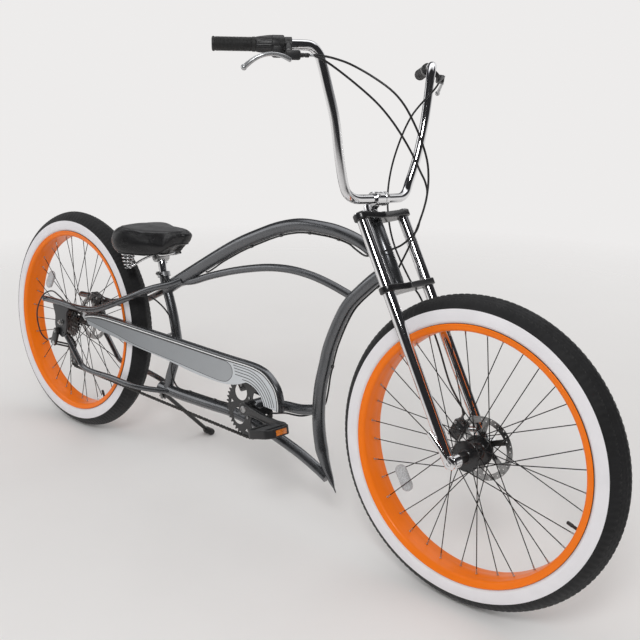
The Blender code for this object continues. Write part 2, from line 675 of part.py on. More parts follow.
def cassette():
    """Seven cogs on one carrier, largest towards the spokes."""
    bore = REAR_HUB_END_RADIUS + SEAT_GAP
    profile = []
    for index in range(COG_COUNT):
        radius = COG_RADIUS - index * COG_DROP
        face = CASSETTE_INNER_Y - index * COG_STEP
        profile += [(radius, face), (radius, face - COG_THICKNESS)]
        if index < COG_COUNT - 1:
            profile += [(radius - COG_TOOTH, face - COG_THICKNESS), (radius - COG_TOOTH, face - COG_STEP)]
    profile += [(bore, face - COG_THICKNESS), (bore, CASSETTE_INNER_Y)]
    return finish(turned("cassette", profile, 12, wheel_matrix(AXLE_REAR)), BLACK)


def rear_wheel():
    """Rim, tyre, hub with spokes, brake disc and cassette of the rear wheel."""
    hub_half = DROPOUT_Y - 0.005
    profile = hub_profile(0.016, REAR_HUB_END_RADIUS, REAR_FLANGE_RADIUS, REAR_FLANGE_SPREAD, hub_half, AXLE_RADIUS + RUNNING_GAP)
    return [rim("rear_rim", AXLE_REAR), tyre("rear_tyre", AXLE_REAR),
            spoked_hub("rear_hub", AXLE_REAR, profile, REAR_FLANGE_RADIUS, REAR_FLANGE_SPREAD),
            rotor("rear_rotor", AXLE_REAR, REAR_ROTOR_Y, REAR_HUB_END_RADIUS), cassette()]


def fork():
    """Crowns, legs, steerer and front axle."""
    made = []
    bottom = 0.0 - 0.012
    for side, word in ((RIGHT, "right"), (LEFT, "left")):
        y = side * LEG_SPREAD
        leg = cylinder("fork_leg_" + word, steer_point(bottom, LEG_LEAD, y),
                       steer_point(CROWN_TOP_AT + 0.004, LEG_LEAD, y), LEG_RADIUS, 20)
        tip = cylinder("tip", AXLE_FRONT + SIDEWAYS * (y - side * LEG_RADIUS * 0.9),
                       AXLE_FRONT + SIDEWAYS * (y + side * LEG_RADIUS * 0.9), 0.017, 20)
        leg = boolean(leg, tip, "UNION")
        reach = SIDEWAYS * 0.10
        leg = bore_out(leg, AXLE_FRONT - reach, AXLE_FRONT + reach, AXLE_RADIUS, 12)
        made.append(finish(leg, CHROME))
    for word, at in (("upper", CROWN_TOP_AT), ("lower", CROWN_BOTTOM_AT)):
        made.append(crown(word + "_crown", at))
    made.append(finish(cylinder("steerer", steer_point(CROWN_BOTTOM_AT + CROWN_THICKNESS / 2 + SEAT_GAP),
                                steer_point(CROWN_TOP_AT - CROWN_THICKNESS / 2 - SEAT_GAP), STEERER_RADIUS, 16), STEEL))
    reach = SIDEWAYS * (LEG_SPREAD + LEG_RADIUS + 0.006)
    made.append(finish(cylinder("front_axle", AXLE_FRONT - reach, AXLE_FRONT + reach, AXLE_RADIUS, 12), STEEL))
    return made


def leg_line(side):
    """A fork leg's line and radius, for cuts."""
    y = side * LEG_SPREAD
    return [steer_point(-0.10, LEG_LEAD, y), steer_point(CROWN_TOP_AT, LEG_LEAD, y)], LEG_RADIUS


def crown(name, at):
    """A flat crown that clamps both legs and carries the steerer."""
    wide, long = LEG_SPREAD, LEG_LEAD
    ear = LEG_RADIUS + 0.006
    outline = (arc((-wide, long), ear, 100.0, 260.0, 7) + arc((0.0, 0.0), 0.024, 215.0, 325.0, 6)
               + arc((wide, long), ear, -80.0, 80.0, 7) + arc((0.0, long - 0.010), 0.021, 60.0, 120.0, 3))
    holes = [circle((side * wide, long), LEG_RADIUS + SEAT_GAP, 20) for side in (RIGHT, LEFT)]
    place = Matrix.Translation(steer_point(at)) @ Matrix((
        (0.0, STEER_AHEAD.x, STEER_UP.x, 0.0), (-1.0, 0.0, 0.0, 0.0),
        (0.0, STEER_AHEAD.z, STEER_UP.z, 0.0), (0.0, 0.0, 0.0, 1.0)))
    return finish(plate(name, [outline] + holes, CROWN_THICKNESS, place), BLACK)


def handlebar_group():
    """Stem, handlebar, grips, brake levers and twist shifter."""
    half = [bar_point(*p) for p in BAR_ROUTE + [BAR_TIP]]
    route = [Vector((p.x, -p.y, p.z)) for p in reversed(half[1:])] + half
    made = [finish(tube("handlebar", route, BAR_RADIUS, resolution=2), CHROME)]
    for side, word in ((RIGHT, "right"), (LEFT, "left")):
        tip, run = lever_place(side)[:2]
        made.append(sleeve("grip_" + word, tip - run * (GRIP_END_WALL + SEAT_GAP), tip + run * GRIP_LENGTH,
                           GRIP_RADIUS, RUBBER, True))
        made.append(brake_lever("brake_lever_" + word, side))
    made.append(twist_shifter())
    clamp = half[0]
    stem = cylinder("stem", clamp - SIDEWAYS * 0.026, clamp + SIDEWAYS * 0.026, BAR_RADIUS + 0.006, 20)
    foot = CROWN_TOP_AT + CROWN_THICKNESS / 2 + SEAT_GAP
    stem = boolean(stem, cylinder("post", steer_point(foot), steer_point(foot + 0.034), 0.0170, 16), "UNION")
    stem = boolean(stem, cylinder("reach", steer_point(foot + 0.020), clamp, 0.0125, 12), "UNION")
    stem = bore_out(stem, clamp - SIDEWAYS * 0.05, clamp + SIDEWAYS * 0.05, BAR_RADIUS, 14)
    made.append(finish(stem, CHROME))
    return made


def twist_shifter():
    """The twist shifter's sleeve inboard of the right grip, with its cable barrel."""
    tip, run = lever_place(RIGHT)[:2]
    start, mouth, way = shifter_mouth()
    made = cylinder("twist_shifter", tip + run * (GRIP_LENGTH + SEAT_GAP), tip + run * (GRIP_LENGTH + SHIFTER_LENGTH),
                    SHIFTER_RADIUS, 14)
    made = boolean(made, cylinder("barrel", start, mouth, BARREL_RADIUS, 8), "UNION")
    return finish(bore_out(made, tip, tip + run * 0.25, BAR_RADIUS, 12), PLASTIC)


def sleeve(name, start, end, radius, look, closed_end=False):
    """A sleeve that slides over the bar, open at one end or at both."""
    run = (end - start).normalized()
    body = cylinder(name, start, end, radius, 14)
    closed = start + run * GRIP_END_WALL
    body = bore_out(body, closed if closed_end else start - run * 0.01, end + run * 0.01, BAR_RADIUS, 12)
    return finish(body, look)


def brake_lever(name, side):
    """A clamp on the bar with a curved two-finger blade and a cable barrel."""
    tip, run, centre, ahead, perch, mouth = lever_place(side)
    half = run * (LEVER_CLAMP / 2)
    made = cylinder(name, centre - half, centre + half, BAR_RADIUS + 0.005, 14)
    made = boolean(made, cylinder("perch", centre + ahead * 0.012, perch, 0.0070, 8), "UNION")
    made = boolean(made, cylinder("barrel", perch - ahead * 0.006, mouth, BARREL_RADIUS, 8), "UNION")
    blade = [perch, perch - run * 0.030 + ahead * 0.006 - UP * 0.008, perch - run * 0.075 + ahead * 0.010 - UP * 0.014,
             perch - run * 0.115 + ahead * 0.004 - UP * 0.018]
    made = boolean(made, tube("blade", smooth(blade, 2), BLADE_RADIUS, resolution=2), "UNION")
    made = bore_out(made, centre - run * 0.03, centre + run * 0.03, BAR_RADIUS, 14)
    return finish(made, PLASTIC)


def frame_tubes():
    """The welded frame, each tube coped to the one that carries it."""
    made = []
    head_low = CROWN_BOTTOM_AT + CROWN_THICKNESS / 2 + SIDE_GAP
    head_high = CROWN_TOP_AT - CROWN_THICKNESS / 2 - SIDE_GAP
    head = cylinder("head_tube", steer_point(head_low), steer_point(head_high), HEAD_TUBE_RADIUS, 20)
    bore = HEAD_TUBE_RADIUS - HEAD_TUBE_WALL
    head = boolean(head, cylinder("bore", steer_point(head_low - 0.02), steer_point(head_high + 0.02), bore, 20))
    made.append(finish(head, GRAPHITE))
    head_cut = [steer_point(head_low - 0.05), steer_point(head_high + 0.05)]

    down = cope(tube("down_tube", DOWN_LINE, DOWN_TUBE_RADIUS, DOWN_RADII), head_cut, HEAD_TUBE_RADIUS)
    made.append(finish(down, GRAPHITE))
    top = cope(tube("top_tube", TOP_LINE, TOP_TUBE_RADIUS, TOP_RADII), head_cut, HEAD_TUBE_RADIUS)
    top = cope(top, DOWN_LINE, DOWN_TUBE_RADIUS, DOWN_RADII)
    top = cope(top, SEAT_LINE, SEAT_TUBE_RADIUS)
    made.append(finish(top, GRAPHITE))
    second = tube("second_tube", SECOND_LINE, SECOND_TUBE_RADIUS)
    second = cope(second, DOWN_LINE, DOWN_TUBE_RADIUS, DOWN_RADII)
    second = cope(second, TOP_LINE, TOP_TUBE_RADIUS, TOP_RADII)
    made.append(finish(second, GRAPHITE))
    lower = tube("lower_tube", LOWER_LINE, LOWER_TUBE_RADIUS, LOWER_RADII)
    lower = cope(lower, DOWN_LINE, DOWN_TUBE_RADIUS, DOWN_RADII)
    made.append(finish(lower, GRAPHITE))
    seat = cope(tube("seat_tube", SEAT_LINE, SEAT_TUBE_RADIUS), LOWER_LINE, LOWER_TUBE_RADIUS, LOWER_RADII)
    post = post_direction()
    seat = bore_out(seat, SEAT_LINE[0] - post * 0.045, SEAT_LINE[0] + post * 0.02, SEATPOST_RADIUS)
    made.append(finish(seat, GRAPHITE))

    shell_half = SIDEWAYS * (BRACKET_WIDTH / 2)
    shell = cylinder("bottom_bracket", BRACKET - shell_half, BRACKET + shell_half, BRACKET_RADIUS, 20)
    shell = boolean(shell, cylinder("bore", BRACKET - shell_half * 1.5, BRACKET + shell_half * 1.5,
                                    BRACKET_RADIUS - BRACKET_WALL, 24))
    made.append(finish(shell, GRAPHITE))
    shell_cut = [BRACKET - shell_half * 1.5, BRACKET + shell_half * 1.5]
    front = cope(tube("link_tube_front", smooth(in_plane(LINK_FRONT_ROUTE), PER_SPAN), LINK_TUBE_RADIUS),
                 shell_cut, BRACKET_RADIUS)
    made.append(finish(cope(front, DOWN_LINE, DOWN_TUBE_RADIUS, DOWN_RADII), GRAPHITE))
    rear = cope(tube("link_tube_rear", smooth(in_plane(LINK_REAR_ROUTE), PER_SPAN), LINK_TUBE_RADIUS),
                shell_cut, BRACKET_RADIUS)
    made.append(finish(cope(rear, LOWER_LINE, LOWER_TUBE_RADIUS, LOWER_RADII), GRAPHITE))

    for side, word in ((RIGHT, "right"), (LEFT, "left")):
        stay = tube("upper_stay_" + word, UPPER_STAY_LINE[side], UPPER_STAY_RADIUS)
        stay = cope(stay, TOP_LINE, TOP_TUBE_RADIUS, TOP_RADII)
        stay = cope(stay, SECOND_LINE, SECOND_TUBE_RADIUS)
        made.append(finish(stay, GRAPHITE))
        stay = tube("lower_stay_" + word, LOWER_STAY_LINE[side], LOWER_STAY_RADIUS)
        stay = cope(stay, LOWER_LINE, LOWER_TUBE_RADIUS, LOWER_RADII)
        stay = cope(stay, SEAT_LINE, SEAT_TUBE_RADIUS)
        made.append(finish(stay, GRAPHITE))
        made.append(dropout("dropout_" + word, side))
    return made


def dropout(name, side):
    """The plate between the stays that holds the rear axle."""
    hole = circle((0.0, TYRE_RADIUS), AXLE_RADIUS + SEAT_GAP, 12)
    made = plate(name, [flat(DROPOUT_OUTLINE), hole], PLATE_THICKNESS, side_plane(side * DROPOUT_Y))
    made = cope(made, UPPER_STAY_LINE[side], UPPER_STAY_RADIUS)
    made = cope(made, LOWER_STAY_LINE[side], LOWER_STAY_RADIUS)
    return finish(made, GRAPHITE)


def chain_circles():
    """Centres and pitch radii that the chain runs round, in the wheel's XZ plane."""
    cog = pitch_radius(DRIVE_COG_TEETH)
    jockey = pitch_radius(JOCKEY_TEETH)
    upper = placed(*JOCKEY_UPPER)
    lower = placed(*JOCKEY_LOWER)
    return [((BRACKET.x, BRACKET.z), pitch_radius(CHAINRING_TEETH)), ((0.0, TYRE_RADIUS), cog),
            ((upper.x, upper.z), jockey), ((lower.x, lower.z), jockey)]


def pitch_radius(teeth):
    """Radius of the circle through the rollers round a sprocket."""
    return CHAIN_PITCH / (2 * math.sin(math.pi / teeth))


def tangent(first, second, turn_first, turn_second):
    """The straight run that leaves one circle and meets the next; turn is +1 anticlockwise."""
    (c1, r1), (c2, r2) = first, second
    dx, dz = c2[0] - c1[0], c2[1] - c1[1]
    gap = math.hypot(dx, dz)
    r1s, r2s = r1 * turn_first, r2 * turn_second
    swing = math.acos((r1s - r2s) / gap)
    normal = math.atan2(dz, dx) - swing
    nx, nz = math.cos(normal), math.sin(normal)
    return (c1[0] + r1s * nx, c1[1] + r1s * nz), (c2[0] + r2s * nx, c2[1] + r2s * nz)


def chain_runs():
    """The chain's straight runs, each with its start and end, in order round the loop."""
    ring, cog, upper, lower = chain_circles()
    turns = [1, 1, -1, 1]
    order = [ring, cog, upper, lower]
    return [tangent(order[i], order[(i + 1) % 4], turns[i], turns[(i + 1) % 4]) for i in range(4)]


def chain_loop(offset):
    """The chain's closed centre line, moved outwards by an offset."""
    circles = chain_circles()
    turns = [1, 1, -1, 1]
    counts = [9, 6, 4, 5]
    runs = chain_runs()
    loop = []
    for index in range(4):
        centre, radius = circles[index]
        start, end = runs[index - 1][1], runs[index][0]
        a = math.atan2(start[1] - centre[1], start[0] - centre[0])
        b = math.atan2(end[1] - centre[1], end[0] - centre[0])
        while turns[index] * (b - a) < 0:
            b += math.tau * turns[index]
        loop += arc(centre, radius + turns[index] * offset, math.degrees(a), math.degrees(b), counts[index])
    return loop


def chain():
    """Two bands of side plates round the whole loop, with rollers along the straight runs."""
    half_gap = 0.0026
    plate_thickness = 0.0012
    half_height = 0.0041
    bands = []
    for side in (RIGHT, LEFT):
        y = CHAINRING_Y + side * (half_gap + plate_thickness / 2)
        band = plate("band", [chain_loop(half_height), chain_loop(-half_height)], plate_thickness, side_plane(y))
        bands.append(band)
    made = boolean(bands[0], rollers(half_gap + plate_thickness / 2), "UNION")
    made = boolean(made, bands[1], "UNION")
    made.name = "chain"
    return finish(made, STEEL)


def rollers(reach):
    """The rollers of the two long straight runs that are clear of the sprockets' teeth."""
    work = bmesh.new()
    runs = chain_runs()
    for start, end in (runs[0], tuple(reversed(runs[3]))):
        length = math.dist(start, end)
        count = int((length - ROLLERS_FROM_RING - ROLLERS_FROM_COG) / ROLLER_STEP)
        for index in range(count + 1):
            t = (ROLLERS_FROM_RING + index * ROLLER_STEP) / length
            x = start[0] + (end[0] - start[0]) * t
            z = start[1] + (end[1] - start[1]) * t
            bmesh.ops.create_cone(work, cap_ends=True, segments=4, radius1=0.0030, radius2=0.0030, depth=reach * 2,
                                  matrix=Matrix.Translation((x, CHAINRING_Y, z)) @ Matrix.Rotation(
                                      math.radians(90.0), 4, "X"))
    return from_bmesh("rollers", work)


def chainring():
    """A toothed ring with five round windows."""
    outline = []
    root = pitch_radius(CHAINRING_TEETH) - 0.0038
    tip = pitch_radius(CHAINRING_TEETH) + 0.0040
    for index in range(CHAINRING_TEETH):
        middle = math.tau * index / CHAINRING_TEETH
        step = math.tau / CHAINRING_TEETH
        for share, radius in ((-0.36, root), (-0.12, tip), (0.12, tip), (0.36, root)):
            angle = middle + share * step
            outline.append((radius * math.cos(angle), radius * math.sin(angle)))
    windows = [circle((0.051 * math.cos(a), 0.051 * math.sin(a)), 0.0215, 10)
               for a in (math.tau * i / 5 + 0.3 for i in range(5))]
    hole = circle((0.0, 0.0), 0.0115, 12)
    place = Matrix.Translation(BRACKET + SIDEWAYS * CHAINRING_Y) @ Matrix.Rotation(math.radians(90.0), 4, "X")
    return finish(plate("chainring", [outline] + windows + [hole], CHAINRING_THICKNESS, place), BLACK)


def crank_arm(name, side):
    """A tapered arm with bosses for the spindle and the pedal."""
    reach = Vector((-side * CRANK_LENGTH, 0.0, 0.0))
    y = side * ARM_Y
    outline = arc((0.0, 0.0), 0.0190, 52.0, 308.0, 9) + arc((CRANK_LENGTH, 0.0), 0.0130, -80.0, 80.0, 7)
    place = Matrix.Translation(BRACKET + SIDEWAYS * y) @ Matrix.Rotation(math.radians(90.0), 4, "X")
    if side == LEFT:
        place = place @ Matrix.Rotation(math.pi, 4, "Z")
    arm = plate(name, [outline], ARM_THICKNESS, place)
    inner = abs(CHAINRING_Y) + CHAINRING_THICKNESS / 2 + SEAT_GAP if side == RIGHT else BRACKET_WIDTH / 2 + 0.012
    boss = cylinder("boss", BRACKET + SIDEWAYS * side * inner, BRACKET + SIDEWAYS * y, 0.0165, 16)
    arm = boolean(arm, boss, "UNION")
    through = SIDEWAYS * side * 0.2
    arm = bore_out(arm, BRACKET, BRACKET + through, SPINDLE_RADIUS, 12)
    arm = bore_out(arm, BRACKET + reach, BRACKET + reach + through, PEDAL_AXLE_RADIUS, 12)
    return finish(arm, BLACK)


def spindle():
    """The spindle through the bottom bracket, with its collar cups."""
    half = ARM_Y + ARM_THICKNESS / 2
    return finish(cylinder("crank_spindle", BRACKET - SIDEWAYS * half, BRACKET + SIDEWAYS * half, SPINDLE_RADIUS, 12), STEEL)


def bracket_cups():
    """Two cups that close the shell round the spindle, with a running gap."""
    made = []
    for side, word in ((RIGHT, "right"), (LEFT, "left")):
        outer = BRACKET + SIDEWAYS * side * (BRACKET_WIDTH / 2 + 0.003)
        inner = BRACKET + SIDEWAYS * side * (BRACKET_WIDTH / 2 - 0.010)
        cup = cylinder("cup_" + word, inner, outer, BRACKET_RADIUS - BRACKET_WALL - SEAT_GAP, 20)
        cup = bore_out(cup, inner - SIDEWAYS * side * 0.01, outer + SIDEWAYS * side * 0.01,
                   SPINDLE_RADIUS + RUNNING_GAP / 2, 12)
        made.append(finish(cup, STEEL))
    return made


def pedal(name, side):
    """A platform pedal: a slotted body on its axle."""
    centre = BRACKET + Vector((-side * CRANK_LENGTH, side * PEDAL_Y, 0.0))
    inner_y = side * (ARM_Y - ARM_THICKNESS / 2)
    frame_outline = [(-0.032, -0.044), (0.032, -0.044), (0.048, -0.028), (0.048, 0.028), (0.032, 0.044),
                     (-0.032, 0.044), (-0.048, 0.028), (-0.048, -0.028)]
    slots = [[(x0, -0.034), (x0 + 0.016, -0.034), (x0 + 0.016, 0.034), (x0, 0.034)] for x0 in (-0.036, 0.020)]
    body = plate(name, [frame_outline] + slots, 0.024, Matrix.Translation(centre))
    axle = cylinder("axle", (centre.x, inner_y, centre.z), centre + SIDEWAYS * side * 0.03, PEDAL_AXLE_RADIUS, 12)
    return finish(boolean(body, axle, "UNION"), PLASTIC)


def chain_guard():
    """A long panel with a flange over the chain, wrapped round the chainring."""
    centre = (BRACKET.x, BRACKET.z)
    outer = arc(centre, GUARD_OUTER_RADIUS, 90.0, 8.0, 10)
    inner = arc(centre, GUARD_INNER_RADIUS, 14.0, 96.0, 8)
    top = flat(GUARD_TOP)
    panel = plate("chain_guard", [top + outer + inner + flat(GUARD_BOTTOM)], GUARD_THICKNESS, side_plane(GUARD_Y))
    edge = [between(top[1], top[2], 0.3)] + top[2:] + outer[:-1] + [between(outer[-2], outer[-1], 0.7)]
    band = offset_line(edge, -0.0005) + list(reversed(offset_line(edge, 0.0024)))
    flange = plate("flange", [band], GUARD_FLANGE - GUARD_THICKNESS / 2,
                   side_plane(GUARD_Y + GUARD_FLANGE / 2 - GUARD_THICKNESS / 4))
    made = boolean(panel, flange, "UNION")
    lug = cylinder("seat_lug", placed(*GUARD_SEAT_LUG, GUARD_Y), placed(*GUARD_SEAT_LUG), 0.0040, 8)
    made = cope(boolean(made, lug, "UNION"), SEAT_LINE, SEAT_TUBE_RADIUS)
    lug = cylinder("stay_lug", placed(*GUARD_STAY_LUG, GUARD_Y), placed(*GUARD_STAY_AT, -DROPOUT_Y), 0.0040, 8)
    made = cope(boolean(made, lug, "UNION"), UPPER_STAY_LINE[RIGHT], UPPER_STAY_RADIUS)
    return finish(made, SILVER)


def between(first, second, share):
    """The point at a share of the way from one to the other."""
    return tuple(a + (b - a) * share for a, b in zip(first, second))


def offset_line(points, distance):
    """A line moved sideways to its right by a distance."""
    moved = []
    for index, (x, z) in enumerate(points):
        x0, z0 = points[max(index - 1, 0)]
        x1, z1 = points[min(index + 1, len(points) - 1)]
        length = math.hypot(x1 - x0, z1 - z0)
        moved.append((x + (z1 - z0) / length * distance, z - (x1 - x0) / length * distance))
    return moved


def ground_height(y):
    """Height of the ground beside the upright bicycle once it leans on its stand."""
    lean = math.radians(LEAN_DEG)
    flat = math.cos(math.pi / WHEEL_FACETS)
    drop = TYRE_RADIUS * flat * math.cos(lean) + TYRE_WIDTH / 2 * TYRE_CROWN * math.sin(lean)
    return TYRE_RADIUS - drop / math.cos(lean) + y * math.tan(lean)


def stand_directions():
    """The stand's pivot and foot, its unit directions when down and when folded, and its hinge axis."""
    pivot = placed(STAND_PIVOT[0], STAND_PIVOT[2], STAND_PIVOT[1])
    foot = Vector((STAND_FOOT_X, STAND_FOOT_Y, ground_height(STAND_FOOT_Y) + STAND_FOOT_RADIUS))
    down = (foot - pivot).normalized()
    folded = Vector(STAND_FOLDED).normalized()
    return pivot, foot, down.cross(folded).normalized()


def rear_axle():
    """The rear axle with a nut outside each dropout."""
    reach = DROPOUT_Y + PLATE_THICKNESS / 2
    axle = cylinder("rear_axle", AXLE_REAR - SIDEWAYS * (reach + 0.012), AXLE_REAR + SIDEWAYS * (reach + 0.012),
                    AXLE_RADIUS, 12)
    for side in (RIGHT, LEFT):
        inner = AXLE_REAR + SIDEWAYS * side * (reach + SEAT_GAP)
        axle = boolean(axle, cylinder("nut", inner, inner + SIDEWAYS * side * 0.007, 0.0100, 6), "UNION")
    return finish(axle, STEEL)


def derailleur():
    """Hanger, parallelogram body and cage with two jockey wheels, below the right dropout."""
    (ux, uz), radius = chain_circles()[2]
    (lx, lz), radius = chain_circles()[3]
    cage = []
    heading = math.degrees(math.atan2(lz - uz, lx - ux))
    outline = (arc((ux, uz), 0.011, heading + 90.0, heading + 270.0, 6)
               + arc((lx, lz), 0.011, heading - 90.0, heading + 90.0, 6))
    for y in (CHAINRING_Y - 0.0062, CHAINRING_Y + 0.0062):
        cage.append(plate("cage", [outline], 0.0018, side_plane(y)))
    made = boolean(cage[0], cage[1], "UNION")
    for x, z in ((ux, uz), (lx, lz)):
        wheel = cylinder("jockey", (x, CHAINRING_Y - 0.0015, z), (x, CHAINRING_Y + 0.0015, z), radius - 0.0045, 10)
        bolt = cylinder("bolt", (x, CHAINRING_Y - 0.0085, z), (x, CHAINRING_Y + 0.0085, z), 0.0030, 8)
        made = boolean(made, boolean(bolt, wheel, "UNION"), "UNION")
    face = -(DROPOUT_Y + PLATE_THICKNESS / 2 + SEAT_GAP)
    middle = face - HANGER_THICKNESS / 2
    hanger = placed(*HANGER, face)
    body = cylinder("hanger", hanger, hanger - SIDEWAYS * HANGER_THICKNESS, 0.011, 14)
    knuckle = placed(*KNUCKLE, middle)
    block = box("knuckle", knuckle, (0.026, HANGER_THICKNESS, 0.050), Matrix.Rotation(0.35, 4, "Y"))
    made = boolean(made, boolean(body, block, "UNION"), "UNION")
    link = cylinder("link", knuckle - UP * 0.016, (ux, CHAINRING_Y - 0.0066, uz), 0.0085, 8)
    made = boolean(made, link, "UNION")
    made = boolean(made, cylinder("barrel", knuckle, shift_end(), BARREL_RADIUS, 8), "UNION")
    made.name = "derailleur"
    return finish(made, BLACK)


def shift_end():
    """Where the shift cable meets the derailleur."""
    return placed(*KNUCKLE, -(DROPOUT_Y + PLATE_THICKNESS / 2 + SEAT_GAP + HANGER_THICKNESS / 2)) + SHIFT_ENTRY


def caliper(name, axle, at_deg, rotor_y, mount, carrier):
    """A disc brake caliper that straddles its disc, with an arm to the leg or stay that carries it."""
    centre, radial, ahead = caliper_place(axle, at_deg, rotor_y)
    turn = Matrix.Rotation(-math.radians(at_deg), 4, "Y")
    made = box(name, centre, (CALIPER_DEPTH, CALIPER_WIDTH, CALIPER_LENGTH), turn)
    made = boolean(made, cylinder("arm", centre + SIDEWAYS * CALIPER_WIDTH * 0.3, mount, 0.0075, 10), "UNION")
    slot = axle + radial * (ROTOR_RADIUS + RUNNING_GAP - CALIPER_DEPTH) + SIDEWAYS * rotor_y
    made = boolean(made, box("slot", slot, (CALIPER_DEPTH * 2, ROTOR_THICKNESS + SIDE_GAP * 3, 0.12), turn))
    return finish(cope(made, *carrier), BLACK)


def caliper_place(axle, at_deg, rotor_y):
    """A caliper's middle, its direction away from the axle and the one along the disc's edge."""
    angle = math.radians(at_deg)
    radial = Vector((math.cos(angle), 0.0, math.sin(angle)))
    along = Vector((-radial.z, 0.0, radial.x))
    return axle + radial * (ROTOR_RADIUS - 0.002) + SIDEWAYS * rotor_y, radial, along


def caliper_entry(axle, at_deg, rotor_y, way):
    """Where the cable enters the caliper, and the direction that it comes from."""
    centre, radial, along = caliper_place(axle, at_deg, rotor_y)
    away = along * way
    return centre + radial * 0.011 + SIDEWAYS * 0.008 + away * (CALIPER_LENGTH / 2 + SIDE_GAP), away


def beside(line, radii, facing, turn_deg, start, end):
    """Points of a cable strapped along a tube between two places in X; 0 degrees is the side that faces a way
    and 90 the bicycle's right."""
    turn = math.radians(turn_deg)
    points = []
    for index in range(1, len(line) - 1):
        if not min(start, end) <= line[index].x <= max(start, end):
            continue
        ahead = (line[index + 1] - line[index - 1]).normalized()
        over = ahead.cross(SIDEWAYS * RIGHT).normalized()
        if over.dot(facing) < 0.0:
            over = -over
        across = SIDEWAYS * RIGHT - ahead * ahead.dot(SIDEWAYS * RIGHT)
        radius = radii[index] if isinstance(radii, list) else radii
        points.append(line[index] + (over * math.cos(turn) + across.normalized() * math.sin(turn))
                      * (radius + CABLE_RADIUS + CABLE_GAP))
    return points


def cable(name, route):
    """One cable in its housing."""
    return finish(bake(curve(name, route, CABLE_RADIUS, resolution=2)), PLASTIC)


def bar_point(x, y, z):
    """A point measured from the upper crown."""
    return steer_point(CROWN_TOP_AT) + Vector((x, y, z))


def lever_place(side):
    """A brake lever's clamp, the way along the bar to its middle, the way ahead, its pivot and its cable mouth."""
    tip = bar_point(BAR_TIP[0], BAR_TIP[1] * side, BAR_TIP[2])
    run = (bar_point(BAR_ROUTE[-1][0], BAR_ROUTE[-1][1] * side, BAR_ROUTE[-1][2]) - tip).normalized()
    at = GRIP_LENGTH + SEAT_GAP + LEVER_CLAMP / 2 + (SHIFTER_LENGTH if side == RIGHT else 0.0)
    centre = tip + run * at
    ahead = (FORWARD - run * FORWARD.dot(run)).normalized()
    perch = centre + ahead * PERCH_REACH - UP * 0.006
    mouth = perch - ahead * 0.006 + run * BARREL_LENGTH
    return tip, run, centre, ahead, perch, mouth


def shifter_mouth():
    """The start and end of the twist shifter's cable barrel."""
    tip, run, centre, ahead, perch, mouth = lever_place(RIGHT)
    aside = (ahead * 0.5 - UP * 0.85).normalized() * (SHIFTER_RADIUS + 0.002)
    return (tip + run * (GRIP_LENGTH + SHIFTER_LENGTH * 0.4) + aside,
            tip + run * (GRIP_LENGTH + SHIFTER_LENGTH + 0.014) + aside, run)


def cables():
    """The front brake's cable, which turns with the fork, and the two that lead to the rear."""
    run, mouth = lever_place(LEFT)[1], lever_place(LEFT)[5]
    end, away = caliper_entry(AXLE_FRONT, FRONT_CALIPER_AT_DEG, FRONT_ROTOR_Y, -1)
    route = [mouth + run * SIDE_GAP, mouth + run * 0.008, mouth + run * 0.025] + [bar_point(*p) for p in FRONT_BRAKE_HANG]
    route += [end + away * 0.016, end + away * 0.006, end]
    front = cable("cable_front_brake", smooth(route, 3))

    run, mouth = lever_place(RIGHT)[1], lever_place(RIGHT)[5]
    end, away = caliper_entry(AXLE_REAR, REAR_CALIPER_AT_DEG, REAR_ROTOR_Y, -1)
    hang = [mouth + run * SIDE_GAP, mouth + run * 0.008, mouth + run * 0.025] + [bar_point(*p) for p in REAR_BRAKE_HANG]
    strapped = beside(TOP_LINE, TOP_RADII, UP, 180.0, placed(1.21, 0.0).x, placed(0.70, 0.0).x)
    tail = [placed(x, z, y) for x, y, z in REAR_BRAKE_TAIL] + [end + away * 0.016, end + away * 0.006, end]
    route = smooth(hang + strapped[:1], 2)[:-1] + strapped + smooth(strapped[-1:] + tail, 2)[1:]
    rear = cable("cable_rear_brake", route)

    start, mouth, run = shifter_mouth()
    hang = [mouth + run * SIDE_GAP, mouth + run * 0.008, mouth + run * 0.025] + [bar_point(*p) for p in SHIFT_HANG]
    down = beside(DOWN_LINE, DOWN_RADII, FORWARD, -40.0, placed(1.31, 0.0).x, placed(1.1400, 0.0).x)
    down = [p for p in down if p.z > BRACKET.z + 0.075]
    lower = beside(LOWER_LINE, LOWER_RADII, UP, 0.0, placed(0.76, 0.0).x, placed(0.60, 0.0).x)
    lower.sort(key=lambda p: -p.x)
    stay = beside(UPPER_STAY_LINE[RIGHT], UPPER_STAY_RADIUS, UP, 90.0, placed(0.34, 0.0).x, placed(0.10, 0.0).x)
    stay.sort(key=lambda p: -p.x)
    middle = [placed(x, z, y) for x, y, z in SHIFT_MIDDLE]
    climb = [placed(x, z, y) for x, y, z in SHIFT_CLIMB]
    loop = [placed(x, z, y) for x, y, z in SHIFT_LOOP]
    end = shift_end() + SHIFT_ENTRY.normalized() * SIDE_GAP
    route = smooth(hang + down[:1], 2)[:-1] + down + smooth(down[-1:] + middle + lower[:1], 2)[1:-1] + lower
    route += smooth(lower[-1:] + climb + stay[:1], 2)[1:-1] + stay
    route += smooth(stay[-1:] + loop + [end + SHIFT_ENTRY * 0.6, end + SHIFT_ENTRY * 0.2, end], 2)[1:]
    return front, [rear, cable("cable_shift", route)]


